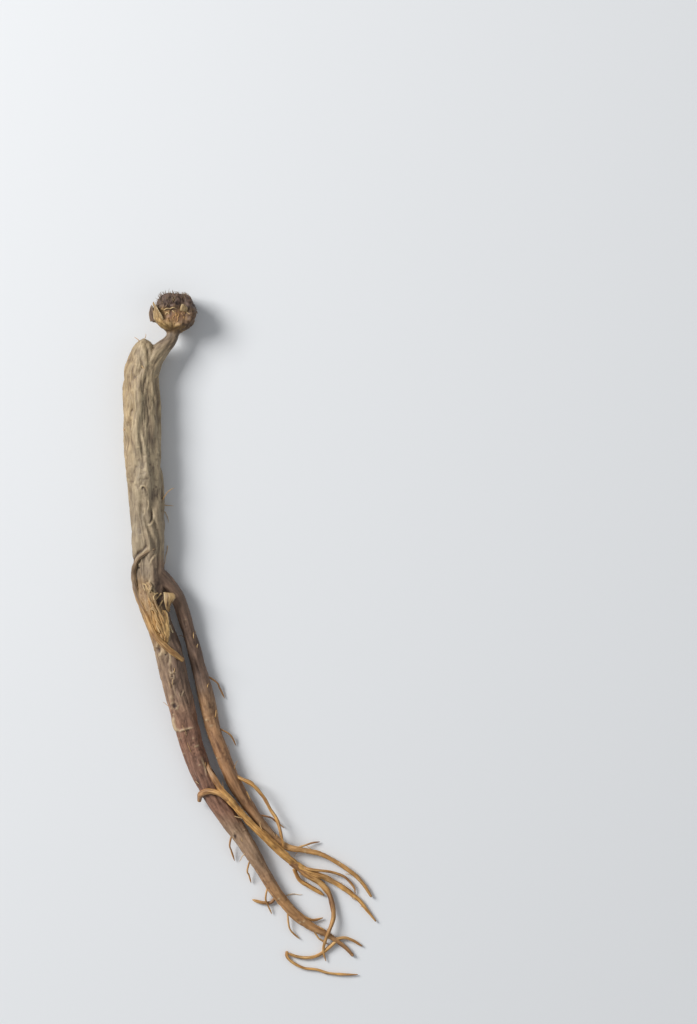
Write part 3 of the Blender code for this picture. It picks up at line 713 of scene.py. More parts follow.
def kinds_on_limbs(place, shares):
    """Shares of the kinds of skin on neck, body and legs, and of painted shade; patch makes their borders
    wander.
    """
    patch = noise.noise(place * 0.16)
    on_side_leg = shares.get("side_leg", 0.0)
    down = -place.y + 4 * patch
    stump_band = ramp(down, -16.0, -9.0) * (1 - ramp(down, -1.0, 5.0)) * (1 - on_side_leg)
    beyond = right_of_stump(place)
    torn = stump_band * (1 - ramp(beyond, -0.4, 0.4))
    # painted shade: right of the stump's torn edge the skin is darkened and reddened, and loses its amber,
    # where shade falls
    painted_shade = ramp(down, -20.0, -12.0) * (1 - ramp(down, 10.0, 18.0)) * ramp(beyond, 0.0, 1.0)
    # painted light: the left flank of the upper body, where the light falls, is mixed with gold
    lit_side = ramp(-place.x, 25.0, 28.0) * ramp(place.y + 6 * patch, 24.0, 44.0)
    red = 0.25 * ramp(down, -24.0, -6.0) + 0.25 * ramp(down, -2.0, 8.0) + 0.45 * ramp(down, 8.0, 24.0)
    red = max(red, 0.6 * on_side_leg * ramp(down, -16.0, -4.0))
    gold = 0.1 * ramp(place.y, 40.0, 60.0) + 0.25 * lit_side + 0.3 * torn
    tail = max(ramp(-place.y, 50.0, 62.0), on_side_leg * ramp(-place.y, 42.0, 52.0))
    browner = 0.24 * ramp(-place.y, -40.0, -26.0) * (1 - ramp(-place.y, -24.0, -16.0))
    browner += 0.3 * ramp(-place.y, -22.0, -14.0) * (1 - ramp(-place.y, -9.0, -3.0)) * (1 - torn)
    # painted shadow: this band low on the main leg is darkened where shade falls
    browner += 0.16 * ramp(-place.y, 26.0, 30.0) * (1 - ramp(-place.y, 36.0, 42.0)) * (1 - on_side_leg)
    patches_and_painted_shade = browner + 0.28 * torn + 0.12 * lit_side + 0.16 * max(0.0, noise.noise(place * 0.31) - 0.1)
    return {
        "red": max(red, 0.55 * painted_shade),
        "gold": max(gold, 0.5 * shares.get("stump", 0.0) * (1 - ramp(beyond, 0.0, 0.8))),
        "amber": max((0.42 + 0.33 * on_side_leg) * tail, 0.25 * torn, 0.25 * on_side_leg * (1 - painted_shade)),
        "dark": max(0.6 * shares.get("neck", 0.0) * ramp(place.y, 63.0, 68.0), 0.6 * painted_shade, patches_and_painted_shade),
        "pale": 0.25 * ramp(-place.y, 40.0, 46.0) * (1 - tail),
    }


# %% Which skin is where on the head
def kinds_on_head(place, height):
    """Golden lip below, a red brown scar bed, dark skin above and to the left, and painted shade on the
    right.
    """
    bed, rim = scar_shares(place)
    torn = 1.3 * noise.noise(place * 0.8)
    streak = noise.noise(Vector((place.x * 1.6, place.y * 0.5, place.z)))
    on_stub = ramp(height + torn, 5.0, 6.4)
    # the right side is red brown skin, darkened further as painted shade, away from the light
    right = ramp(place.x + torn, -16.0, -14.0)
    left = ramp(-place.x + 0.5 * torn, 21.6, 22.4)
    foot = 1 - ramp(height + 0.5 * torn, 0.3, 1.4)
    above_bed = ramp(place.y + 0.4 * torn, 73.9, 74.7)
    bed_shade = bed * (0.26 + 0.4 * max(0.0, -2.0 * streak))
    rim_shade = 0.35 * rim * ramp(place.x, -18.0, -16.5)
    return {
        "gold": (1 - on_stub) * (1 - bed) * 0.92 + 0.2 * bed * max(0.0, 2.0 * streak),
        "red": max(0.95 * bed, 0.8 * right, 0.7 * above_bed) * (1 - 0.5 * on_stub),
        "amber": 0.25 * bed,
        "dark": max(
            0.9 * on_stub, 0.6 * foot, 0.8 * right, 0.85 * left, 0.7 * above_bed, bed_shade, rim_shade
        ),
        "pale": 0.0,
    }


def kinds_of_skin(place, shares):
    """The kinds on limbs and head, faded into each other at the head's foot."""
    height = head_place(place)[0]
    on_head = ramp(height, -0.4, 0.6)
    limbs, head = kinds_on_limbs(place, shares), kinds_on_head(place, height)
    return {kind: min(1.0, limbs[kind] * (1 - on_head) + head[kind] * on_head) for kind in limbs}


# %% Relief of the head, rougher than the rest
def head_relief(place):
    """(height in mm, hollow) of broad folds round the cup and fibres on the stub."""
    height, _, angle = head_place(place)
    around = ring_way(angle)
    sway = 0.5 * noise.noise(around * 1.4 + Vector((1.0, 0.0, height * 0.4)))
    fold = noise.noise(ring_way(angle + sway) * 2.3 + Vector((0.0, 0.0, height * 0.5)))
    rib = noise.noise(ring_way(angle + 0.2 * sway) * 4.4 + Vector((0.0, 7.0, height * 0.3)))
    fibre = noise.noise(ring_way(angle + 0.3 * sway) * 7.0 + Vector((0.0, 4.0, height * 0.45)))
    fine = noise.noise(place * 1.9)
    on_stub = ramp(height, 5.2, 6.8)
    folded = max(0.0, 1.0 - 3.4 * abs(fold))
    ribbed = max(0.0, 1.0 - 3.6 * abs(rib)) * (1 - on_stub)
    calm = 1 - 0.75 * scar_shares(place)[0]
    lift = calm * (-0.24 * folded - 0.16 * ribbed) + (0.08 + 0.3 * on_stub) * fibre + 0.1 * fine
    return lift, max(0.8 * folded * calm, 0.7 * ribbed * calm, -1.5 * fibre * (0.4 + 0.6 * on_stub))


# %% Carve the fine relief into the core
UPPER_SIDE = 2.4  # mm above the table; scars and folds are only above this height


def limb_relief(found, shares, place):
    """(height in mm, hollow) of the wrinkles of all limbs near a place."""
    lift, hollow = 0.0, 0.0
    smooth_patch = 0.55 * ramp(place.y, 19.0, 23.0) * (1 - ramp(place.y, 29.0, 33.0))
    for name, share in shares.items():
        _, travelled, angle, radius = found[name]
        seed = finders[name].seed
        fine, bed = fine_relief(travelled, angle, radius, seed)
        furrow = furrow_at(travelled, angle, radius, seed)
        strength = min(1.0, 0.4 + 0.16 * radius) * (1 - smooth_patch)
        lift += share * fine * strength
        hollow += share * (0.3 * furrow**2 + 0.62 * max(0.0, bed)) * (1 - 0.5 * smooth_patch)
    return lift, hollow


def carve_core(mesh):
    """Moves every vertex of the core by its relief; returns the notes and the grain."""
    count = len(mesh.vertices)
    notes = {note: np.zeros(count) for note in NOTES}
    grain = np.zeros((count, 3))
    places = np.zeros((count, 3))
    for i, vertex in enumerate(mesh.vertices):
        place = vertex.co.copy()
        found = {name: finder.find(place) for name, finder in finders.items()}
        nearest = min(found, key=lambda name: found[name][0])
        closest = found[nearest][0]
        weights = {name: math.exp(-SHARE_SHARPNESS * (hit[0] - closest)) for name, hit in found.items()}
        total = sum(weights.values())
        shares = {name: weight / total for name, weight in weights.items() if weight / total > LEAST_SHARE}
        on_head = ramp(head_place(place)[0], -0.6, 0.8)
        lift, hollow = limb_relief(found, shares, place) if on_head < 1.0 else (0.0, 0.0)
        if on_head > 0.0:
            head_lift, head_hollow = head_relief(place)
            lift += (head_lift - lift) * on_head
            hollow += (head_hollow - hollow) * on_head
        kinds = kinds_of_skin(place, shares)
        lenticel = lenticel_at(place)
        lift += LENTICEL_HEIGHT * lenticel
        kinds["pale"] = max(kinds["pale"], 0.7 * lenticel)
        if place.z > UPPER_SIDE:
            marked, pit, rim = mark_at(place)
            folded, crest, beside = fold_at(place)
            lift += marked + folded
            kinds["pale"] = max(kinds["pale"], 0.55 * rim, 0.6 * crest * ramp(place.z, 2.8, 4.6))
            # beside is painted shadow: the sunken side right of a fold gets dark skin and the darker bed
            # colour
            kinds["dark"] = max(kinds["dark"], 0.9 * pit, 0.3 * beside)
            hollow = max(hollow * (1 - max(rim, crest)), pit, beside)
        places[i] = place + vertex.normal * lift
        notes["hollow"][i] = min(1.0, max(0.0, hollow))
        for kind, value in kinds.items():
            notes[kind][i] = min(1.0, max(0.0, value))
        _, travelled, angle, radius = found[nearest]
        grain[i] = (*(ring_way(angle) * radius).xy, travelled)
        if on_head > 0.5:
            grain[i] = (place.x, place.z, place.y * 0.5)
    places[:, 2] = np.maximum(places[:, 2], 0.0)
    mesh.vertices.foreach_set("co", places.ravel())
    mesh.update()
    return notes, grain


core_notes, core_grain = carve_core(core_mesh)
core_surface = BVHTree.FromPolygons(
    [vertex.co.copy() for vertex in core_mesh.vertices],
    [tuple(face.vertices) for face in core_mesh.polygons],
)


def skin_height(x, y, otherwise=0.0):
    """Height of the core's upper side over a point of the table, in mm."""
    hit = core_surface.ray_cast(Vector((x, y, 30.0)), -UP)[0]
    return hit.z if hit else otherwise


print("the body is", round(skin_height(-24.0, 40.0), 2), "mm high at its middle")

# %% [markdown]
# ## Hand over a piece
#
# Every piece ends the same way: its notes become attributes on the mesh, its size goes from millimetres
# to metres, and it rides on the root.

# %% Hand the notes to a mesh, in metres
def finish_mesh(mesh, notes, grain):
    """Stores the notes and the grain, keeps the mesh above the table, and scales it to metres."""
    for note, values in notes.items():
        attribute = mesh.attributes.new(note, "FLOAT", "POINT")
        attribute.data.foreach_set("value", np.asarray(values, dtype=np.float32))
    attribute = mesh.attributes.new("grain", "FLOAT_VECTOR", "POINT")
    attribute.data.foreach_set("vector", np.asarray(grain, dtype=np.float32).ravel())
    places = np.empty(len(mesh.vertices) * 3)
    mesh.vertices.foreach_get("co", places)
    places = places.reshape(-1, 3)
    places[:, 2] = np.maximum(places[:, 2], 0.0)
    mesh.vertices.foreach_set("co", (places * MM).ravel())
    mesh.update()
    mesh.shade_smooth()


def place_piece(name, mesh, material):
    """An object of the mesh, in its material, that rides on the root."""
    piece = bpy.data.objects.new(name, mesh)
    bpy.context.scene.collection.objects.link(piece)
    mesh.materials.append(material)
    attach(piece, "root")
    mesh.calc_loop_triangles()
    print(name, len(mesh.loop_triangles), "triangles")
    return piece


finish_mesh(core_mesh, core_notes, core_grain)

# %% [markdown]
# ## Fibre grain, a shader group
#
# All the skins share one kind of fine grain: streaks that run along the limb. The group reads the `grain`
# attribute, squeezes it lengthwise and feeds it to noise. It is made once, and each material places it
# with its own values.

# %% Build the grain group
STREAKS_PER_MM = 2.2
MOTTLES_PER_MM = 0.42


def add_node(tree, kind, **settings):
    node = tree.nodes.new(kind)
    for key, value in settings.items():
        setattr(node, key, value)
    return node


def new_group(name, inputs, outputs):
    """An empty node group with named sockets: (name, kind, default) each."""
    group = bpy.data.node_groups.new(name, "ShaderNodeTree")
    for socket_name, kind, default in inputs:
        group.interface.new_socket(socket_name, in_out="INPUT", socket_type=kind).default_value = default
    for socket_name, kind in outputs:
        group.interface.new_socket(socket_name, in_out="OUTPUT", socket_type=kind)
    return group, group.nodes.new("NodeGroupInput"), group.nodes.new("NodeGroupOutput")


def build_grain_group():
    """Streaks along the limb and a mottle across them."""
    group, given, made = new_group(
        "fibre_grain",
        [("Fineness", "NodeSocketFloat", 1.0), ("Lengthwise", "NodeSocketFloat", 0.22)],
        [("Streak", "NodeSocketFloat"), ("Mottle", "NodeSocketFloat"), ("Height", "NodeSocketFloat")],
    )
    link = group.links.new
    grain = add_node(group, "ShaderNodeAttribute", attribute_name="grain")
    stretch = add_node(group, "ShaderNodeCombineXYZ")
    for axis in ("X", "Y"):
        stretch.inputs[axis].default_value = 1.0
    link(given.outputs["Lengthwise"], stretch.inputs["Z"])
    stretched = add_node(group, "ShaderNodeVectorMath", operation="MULTIPLY")
    link(grain.outputs["Vector"], stretched.inputs[0])
    link(stretch.outputs[0], stretched.inputs[1])
    streak = add_node(group, "ShaderNodeTexNoise", noise_dimensions="3D")
    streak.inputs["Detail"].default_value = 5.0
    streak.inputs["Roughness"].default_value = 0.6
    streak.inputs["Distortion"].default_value = 0.5
    scale = add_node(group, "ShaderNodeMath", operation="MULTIPLY")
    scale.inputs[1].default_value = STREAKS_PER_MM
    link(given.outputs["Fineness"], scale.inputs[0])
    link(scale.outputs[0], streak.inputs["Scale"])
    link(stretched.outputs[0], streak.inputs["Vector"])
    mottle = add_node(group, "ShaderNodeTexNoise", noise_dimensions="3D")
    mottle.inputs["Scale"].default_value = MOTTLES_PER_MM
    mottle.inputs["Detail"].default_value = 3.0
    link(grain.outputs["Vector"], mottle.inputs["Vector"])
    link(streak.outputs["Fac"], made.inputs["Streak"])
    link(mottle.outputs["Fac"], made.inputs["Mottle"])
    link(streak.outputs["Fac"], made.inputs["Height"])
    return group


# %% [markdown]
# ## Ridge and furrow, a second shader group
#
# Handling polishes the ridges to a paler tone, and the furrows are darkened as painted shade. The group
# takes a skin's colour and gives it back lighter on the ridges and darker in the beds, with the streaks
# laid over it.

# %% Build the ridge and furrow group
HOLLOW_WEAR = -0.16  # how much less polish a bed gets than a ridge
RIDGE_SPAN = (0.31, 0.66)  # polish at which a ridge starts to pale, and is fully pale
BED_SPAN = (0.25, 1.1)  # hollow at which a bed starts to darken, and is fully dark


def build_furrow_group():
    """A skin's colour, paler on the ridges and darker in the beds as painted shade."""
    group, given, made = new_group(
        "ridge_and_furrow",
        [
            ("Ridge Colour", "NodeSocketColor", (0.5, 0.4, 0.3, 1.0)),
            ("Skin Colour", "NodeSocketColor", (0.3, 0.2, 0.1, 1.0)),
            ("Bed Colour", "NodeSocketColor", (0.1, 0.06, 0.03, 1.0)),
            ("Hollow", "NodeSocketFloat", 0.0),
            ("Streak", "NodeSocketFloat", 0.5),
        ],
        [("Colour", "NodeSocketColor")],
    )
    link = group.links.new
    worn = add_node(group, "ShaderNodeMath", operation="MULTIPLY_ADD")
    worn.inputs[1].default_value = HOLLOW_WEAR
    link(given.outputs["Hollow"], worn.inputs[0])
    link(given.outputs["Streak"], worn.inputs[2])
    paleness = add_node(group, "ShaderNodeMapRange", clamp=True)
    paleness.inputs["From Min"].default_value = RIDGE_SPAN[0]
    paleness.inputs["From Max"].default_value = RIDGE_SPAN[1]
    link(worn.outputs[0], paleness.inputs["Value"])
    pale = add_node(group, "ShaderNodeMix", data_type="RGBA")
    link(paleness.outputs["Result"], pale.inputs["Factor"])
    link(given.outputs["Skin Colour"], pale.inputs["A"])
    link(given.outputs["Ridge Colour"], pale.inputs["B"])
    # painted shade: the deeper the hollow, the more of the darker bed colour
    depth = add_node(group, "ShaderNodeMapRange", clamp=True)
    depth.inputs["From Min"].default_value = BED_SPAN[0]
    depth.inputs["From Max"].default_value = BED_SPAN[1]
    link(given.outputs["Hollow"], depth.inputs["Value"])
    bed = add_node(group, "ShaderNodeMix", data_type="RGBA")
    link(depth.outputs["Result"], bed.inputs["Factor"])
    link(pale.outputs["Result"], bed.inputs["A"])
    link(given.outputs["Bed Colour"], bed.inputs["B"])
    link(bed.outputs["Result"], made.inputs["Colour"])
    return group


grain_group = build_grain_group()
furrow_group = build_furrow_group()
print("shader groups:", grain_group.name, "and", furrow_group.name)

# %% [markdown]
# ## The skin material
#
# Six skins are mixed by the notes on the mesh: tan first, then red over it, olive gold and warm amber
# over that, pale scar tissue, and dark last, which is also laid on as painted shade. Thin rootlets, which
# light shines into, have amber as their ground. Each skin has a ridge, a middle and a bed colour, the bed
# colour a painted shade of the skin for its furrows. Colours are written as a screen shows them and
# turned into light values.

# %% Colours of the skins
def screen_colour(red, green, blue):
    """A screen colour, 0 to 255, as linear light."""
    return tuple(((c / 255 + 0.055) / 1.055) ** 2.4 for c in (red, green, blue)) + (1.0,)


SKINS = {
    "tan": (screen_colour(180, 163, 132), screen_colour(147, 129, 104), screen_colour(90, 73, 60)),
    "red": (screen_colour(152, 110, 88), screen_colour(116, 81, 63), screen_colour(67, 43, 34)),
    "gold": (screen_colour(202, 168, 106), screen_colour(164, 126, 74), screen_colour(96, 66, 38)),
    "amber": (screen_colour(226, 176, 104), screen_colour(190, 138, 72), screen_colour(118, 74, 38)),
    "pale": (screen_colour(224, 206, 168), screen_colour(196, 170, 128), screen_colour(130, 100, 70)),
    "dark": (screen_colour(100, 76, 66), screen_colour(68, 50, 44), screen_colour(32, 23, 21)),
}
print(len(SKINS), "skins:", ", ".join(SKINS))


# %% Mix the skins by the notes on the mesh
def place_group(tree, group, **values):
    """The group as a node; an underscore in a value's name stands for a space in its socket's."""
    node = add_node(tree, "ShaderNodeGroup", node_tree=group)
    for key, value in values.items():
        node.inputs[key.replace("_", " ")].default_value = value
    return node


def mixed_colour(tree, skins, hollow, streak):
    """The skins' colours mixed by the notes on the mesh, the first skin the ground."""
    link = tree.links.new
    colour = None
    for kind in skins:
        ridge, middle, bed = SKINS[kind]
        toned = place_group(tree, furrow_group, Ridge_Colour=ridge, Skin_Colour=middle, Bed_Colour=bed)
        link(hollow, toned.inputs["Hollow"])
        link(streak, toned.inputs["Streak"])
        if colour is None:
            colour = toned.outputs["Colour"]
            continue
        share = add_node(tree, "ShaderNodeAttribute", attribute_name=kind)
        mixed = add_node(tree, "ShaderNodeMix", data_type="RGBA")
        link(share.outputs["Fac"], mixed.inputs["Factor"])
        link(colour, mixed.inputs["A"])
        link(toned.outputs["Colour"], mixed.inputs["B"])
        colour = mixed.outputs["Result"]
    return colour


def map_range(tree, value, low, high, to_low, to_high):
    """The value stretched from low and high to to_low and to_high, and held between them."""
    node = add_node(tree, "ShaderNodeMapRange", clamp=True)
    for socket, number in (("From Min", low), ("From Max", high), ("To Min", to_low), ("To Max", to_high)):
        node.inputs[socket].default_value = number
    tree.links.new(value, node.inputs["Value"])
    return node.outputs["Result"]


# %% One material on tan ground and one on amber ground
MOTTLE_TONES = (0.78, 1.1)
BUMP_HEIGHT = 0.2  # mm
GLOSS_LEVEL = 0.4


def skin_material(name, skins, fineness, bump, roughness):
    """The mixed skins with a mottle, streaks in the roughness, and a fine bump."""
    material = bpy.data.materials.new(name)
    material.use_nodes = True
    tree = material.node_tree
    link = tree.links.new
    shader = tree.nodes["Principled BSDF"]
    grain = place_group(tree, grain_group, Fineness=fineness)
    hollow = add_node(tree, "ShaderNodeAttribute", attribute_name="hollow")
    colour = mixed_colour(tree, skins, hollow.outputs["Fac"], grain.outputs["Streak"])
    mottled = add_node(tree, "ShaderNodeMix", data_type="RGBA", blend_type="MULTIPLY")
    mottled.inputs["Factor"].default_value = 1.0
    link(colour, mottled.inputs["A"])
    link(map_range(tree, grain.outputs["Mottle"], 0.3, 0.7, *MOTTLE_TONES), mottled.inputs["B"])
    link(mottled.outputs["Result"], shader.inputs["Base Color"])
    dull = map_range(tree, grain.outputs["Streak"], 0.2, 0.8, roughness - 0.08, roughness + 0.12)
    link(dull, shader.inputs["Roughness"])
    bumped = add_node(tree, "ShaderNodeBump")
    bumped.inputs["Strength"].default_value = bump
    bumped.inputs["Distance"].default_value = BUMP_HEIGHT * MM
    link(grain.outputs["Height"], bumped.inputs["Height"])
    link(bumped.outputs["Normal"], shader.inputs["Normal"])
    shader.inputs["Specular IOR Level"].default_value = GLOSS_LEVEL
    return material


ROOT_SKINS = ("tan", "red", "gold", "amber", "pale", "dark")
root_skin = skin_material("root_skin", ROOT_SKINS, 1.0, bump=0.5, roughness=0.56)
golden_skin = skin_material("golden_skin", ("amber", "red", "pale", "dark"), 1.8, bump=0.4, roughness=0.5)
core = place_piece("ginseng_core", core_mesh, root_skin)
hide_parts("ginseng_root")

# %% [markdown]
# ## Rootlets
#
# A rootlet is a thin limb, but its skin is different: fine ribs run its whole length, and it thickens and
# thins every few millimetres. Each one tapers to a hair or ends in a cut. Its colour drifts between amber
# and red brown.

# %% The ribbed skin of a rootlet
def rootlet_shape(along_limb, angle, radius, seed):
    """(height in mm, hollow) of ribs along a rootlet, and of its beads and lumps."""
    around = ring_way(angle)
    rib = noise.noise(around * (0.9 + 0.8 * radius) + Vector((seed, 0.0, along_limb / 6.0)))
    bead = noise.noise(Vector((seed, 7.0, along_limb / 1.9)))
    lump = noise.noise(around * 0.8 + Vector((seed, 2.0, along_limb / 1.1)))
    groove = max(0.0, 1.0 - 2.8 * abs(rib))
    return radius * (0.14 * bead + 0.1 * lump - 0.16 * groove), 0.85 * groove


def golden_tint(redness, seed):
    """Amber that drifts towards red brown and back along a rootlet."""
    def tint(share, place):
        drift = noise.noise(Vector((place.x, place.y, seed)) * 0.22)
        return {"red": max(0.0, min(0.8, redness + 0.7 * drift)), "pale": max(0.0, 0.5 * -drift)}
    return tint


def strap_tint(share, place):
    """The strap is tan like the body where it leaves it, and golden further down."""
    lower = ramp(-place.y, -12.0, -2.0)
    return {"gold": 0.2 + 0.3 * lower, "amber": 0.65 * lower, "red": 0.3 * (1 - lower), "dark": 0.2}


def golden_root_tint(share, place):
    """Red brown where it leaves the leg, golden from the hook on."""
    drift = noise.noise(Vector((place.x, place.y, 2.0)) * 0.22)
    redness = 0.7 * (1 - ramp(share, 0.05, 0.2)) + max(0.0, 0.3 * drift)
    return {"red": min(0.9, redness), "pale": max(0.0, -0.5 * drift)}


def piece_from(name, made, material):
    """The whole way from gathered points to a placed piece."""
    mesh = bare_mesh(name, made)
    finish_mesh(mesh, made.notes, made.grain)
    return place_piece(name, mesh, material)


# %% Lay the strap, the golden root and the rootlets
strap_skin = Skin()
loft(strap_skin, STRAP, sides=26, step=0.22, shape=rootlet_shape, seed=11.0, tint=strap_tint)
piece_from("strap_root", strap_skin, root_skin)

golden_root_skin = Skin()
loft(golden_root_skin, GOLDEN_ROOT, 28, 0.24, rootlet_shape, 12.5, golden_root_tint, thin_tip=0.5)
loft(golden_root_skin, HOOK, 26, 0.22, rootlet_shape, 13.5, golden_tint(0.4, 4.0))
piece_from("golden_root", golden_root_skin, golden_skin)

RED_ROOTLETS = ("long_drop", "broken_spur", "tail_fork", "inner_arc")
rootlet_skin = Skin()
for i, (name, knots) in enumerate(ROOTLETS.items()):
    redness = 0.3 if name in RED_ROOTLETS else 0.05
    loft(rootlet_skin, knots, 16, 0.25, rootlet_shape, 20.0 + i, golden_tint(redness, i), thin_tip=0.65)
piece_from("rootlets", rootlet_skin, golden_skin)

# %% [markdown]
# ## The frayed stump
#
# Where a side root tore off, its fibres stay behind. They fan out between two lines over the fork of the
# legs, and run together at the stump's tip. Each one is a thin loft that lies on the core, whose height
# is looked up by a ray from above. The three thick strands are bundles: a few fibres wound round one
# route.

# %% Lay fibres over the stump
FAN_LEFT = ((-23.2, 9.0), (-22.7, 5.9), (-21.7, 1.6), (-20.2, -0.7), (-19.2, -2.1))
FAN_RIGHT = ((-21.2, 5.6), (-19.3, 4.2), (-18.7, 1.0), (-18.7, -1.0), (-18.9, -2.3))
FAN_FIBRES = 17
FAN_RADIUS = (0.14, 0.3)
FAN_KNOTS = 8
FIBRE_SEED = 77


def fibre_shape(along_limb, angle, radius, seed):
    """(height in mm, hollow) of a fibre, which is lumpy but not ribbed."""
    lump = noise.noise(ring_way(angle) * 0.7 + Vector((seed, 0.0, along_limb * 0.9)))
    return radius * 0.3 * lump, max(0.0, -1.1 * lump)


def fan_of_fibres(into, draw):
    """Fibres side by side between the fan's two lines; their free ends lift off."""
    left, right = (smooth_route([(x, y, 0.0, 0.0) for x, y in side], 0.5) for side in (FAN_LEFT, FAN_RIGHT))
    for i in range(FAN_FIBRES):
        share = (i + draw.uniform(0.2, 0.8)) / FAN_FIBRES
        first, last = draw.uniform(0.0, 0.35), draw.uniform(0.7, 1.0)
        thickness = draw.uniform(*FAN_RADIUS)
        knots = []
        for k in range(FAN_KNOTS):
            v = first + (last - first) * k / (FAN_KNOTS - 1)
            here = left[round(v * (len(left) - 1))].xy.lerp(right[round(v * (len(right) - 1))].xy, share)
            here += Vector((draw.uniform(-0.16, 0.16), 0.0))
            lift = 0.55 * thickness + draw.uniform(0.1, 0.7) * ramp(k, FAN_KNOTS - 3, FAN_KNOTS - 1)
            sunk = 0.6 * thickness if k == 0 else 0.0
            knots.append((here.x, here.y, skin_height(here.x, here.y, 6.0) + lift - sunk, thickness))
        amber = draw.uniform(0.3, 0.8)
        redness, paleness = draw.uniform(0.0, 0.6), draw.uniform(-0.5, 0.4)

        def tint(along, place):
            kinds = {"gold": 0.6, "amber": amber, "red": redness, "pale": max(0.0, paleness)}
            return {**kinds, "dark": 0.16 + 0.2 * ramp(place.y, 1.0, 6.0)}

        loft(into, knots, 9, 0.3, fibre_shape, 30.0 + i, tint, thin_tip=0.7)


# %% Strands of a few fibres each
STRAND_FIBRES = 3


def strand_tint(share, place):
    """Brown where a strand leaves the body, amber further down."""
    lower = ramp(-place.y, -8.0, -3.0)
    return {"gold": 0.5, "amber": 0.15 + 0.35 * lower, "dark": 0.4 - 0.22 * lower}


def bundle(into, knots, count, seed, tint, twist=0.35, thin=0.55):
    """Fibres that wind loosely round one route."""
    line = stations(knots, 0.7)
    for i in range(count):
        fibre = []
        for centre, radius, travelled, across, above in line:
            sway = 0.8 * noise.noise(Vector((seed, i, travelled * 0.3)))
            angle = 2 * math.pi * i / count + twist * travelled + sway
            spread = radius * (0.5 + 0.35 * noise.noise(Vector((i * 3.1, seed, travelled * 0.5))))
            place = centre + (across * math.cos(angle) + above * math.sin(angle)) * spread
            fibre.append((*place, radius * thin))
        loft(into, fibre, 10, 0.28, fibre_shape, seed + 1.7 * i, tint, thin_tip=0.5)


stump_skin = Skin()
draw = random.Random(FIBRE_SEED)
fan_of_fibres(stump_skin, draw)
for i, knots in enumerate(STRANDS.values()):
    bundle(stump_skin, knots, STRAND_FIBRES, 50.0 + 5 * i, strand_tint)

# %% Loose threads round the hole in the stump: points (x, y) in mm
THREAD_RADIUS = 0.17
STUMP_THREADS = {
    "curled_knot": ((-24.2, 11.6), (-23.6, 11.4), (-23.3, 10.7), (-22.9, 10.8), (-22.5, 10.3)),
    "knot_tail": ((-23.3, 10.6), (-22.6, 10.0), (-21.9, 9.5), (-21.4, 9.3), (-20.9, 9.5)),
    "hole_edge_left": ((-21.4, 9.3), (-21.8, 8.6), (-21.5, 7.6), (-21.2, 6.7), (-20.7, 6.1)),
    "hole_edge_top": ((-21.4, 8.0), (-20.9, 8.5), (-20.1, 9.4)),
    "hole_edge_low": ((-20.9, 6.0), (-20.5, 6.5), (-19.8, 7.7)),
    "bright_string": ((-22.2, 5.3), (-21.8, 4.2), (-21.3, 3.1), (-21.1, 2.6)),
    "low_string": ((-20.7, 3.0), (-20.3, 2.2), (-19.9, 1.7)),
    "stray_white": ((-18.1, 2.1), (-17.8, 1.1), (-17.4, 0.4)),
}
for i, (name, points) in enumerate(STUMP_THREADS.items()):
    knots = [(x, y, skin_height(x, y, 4.5) + 0.2, THREAD_RADIUS) for x, y in points]
    kinds = {"gold": 0.9, "pale": 1.0 if name == "stray_white" else 0.45}
    loft(stump_skin, knots, 8, 0.2, fibre_shape, 90.0 + i, lambda share, place: kinds)
piece_from("stump_fibres", stump_skin, root_skin)

# %% [markdown]
# ## Scales and torn skin
#
# Last year's bud left a pointed scale on the cup, and smaller ones stand beside it. Below, chips of torn
# skin curl away from the stump, and one long sheet of bark ends it in a jagged edge. Each is a thin
# curved shell between a left and a right edge, pushed half a thickness to both sides and closed round its
# rim, which is paler than its middle.

# %% Shells between two edges: left edge, right edge (x, y, z), and how far the middle bulges
SHELL_COLUMNS = 14
SHELL_STEP = 0.2
SHELL_THICKNESS = 0.24
SHELL_RIBS = 0.13
SHELLS = {
    "bud_scale": (
        ((-21.3, 71.7, 5.6), (-21.8, 72.5, 6.3), (-21.7, 73.6, 6.8), (-21.6, 74.7, 7.1), (-21.9, 76.1, 7.3)),
        ((-19.5, 71.8, 7.4), (-19.7, 72.8, 8.4), (-20.6, 74.3, 8.7), (-21.3, 75.4, 8.3), (-21.8, 76.3, 7.5)),
        0.2,
    ),
    "scale_behind": (
        ((-22.6, 71.9, 4.6), (-22.9, 73.4, 4.9), (-22.7, 74.6, 5.2), (-22.4, 75.5, 5.6)),
        ((-21.5, 71.9, 6.0), (-21.7, 73.4, 6.5), (-22.0, 74.6, 6.5), (-22.3, 75.5, 5.8)),
        0.2,
    ),
    "pale_flake": (
        ((-15.7, 74.3, 8.1), (-15.6, 75.0, 8.5), (-15.2, 75.7, 8.6)),
        ((-14.1, 74.0, 7.4), (-14.1, 74.8, 7.9), (-14.6, 75.6, 8.2)),
        0.25,
    ),
    "torn_chip": (
        ((-19.5, 9.7, 6.5), (-19.4, 8.1, 6.9), (-19.1, 6.8, 6.8), (-18.9, 5.9, 6.4), (-18.6, 5.2, 5.9)),
        ((-17.3, 9.5, 6.9), (-16.8, 8.6, 7.0), (-17.6, 7.4, 6.7), (-18.1, 6.5, 6.3), (-18.2, 5.2, 5.8)),
        0.3,
    ),
    "curled_edge": (
        ((-24.3, 11.9, 6.4), (-24.3, 11.0, 6.7), (-23.8, 10.0, 7.1), (-23.3, 9.3, 7.1)),
        ((-22.8, 12.1, 7.3), (-22.2, 11.3, 7.7), (-22.4, 10.3, 7.7), (-22.9, 9.4, 7.3)),
        -0.25,
    ),
    "bark_sheet": (
        ((-20.0, 5.6, 7.2), (-20.0, 3.9, 7.7), (-19.6, 1.0, 7.7), (-19.3, -0.8, 7.3), (-18.9, -2.1, 6.9)),
        ((-19.1, 5.5, 6.9), (-18.5, 4.2, 7.2), (-18.1, 1.2, 7.5), (-18.3, -0.8, 7.2), (-18.7, -2.1, 6.9)),
        0.15,
    ),
}
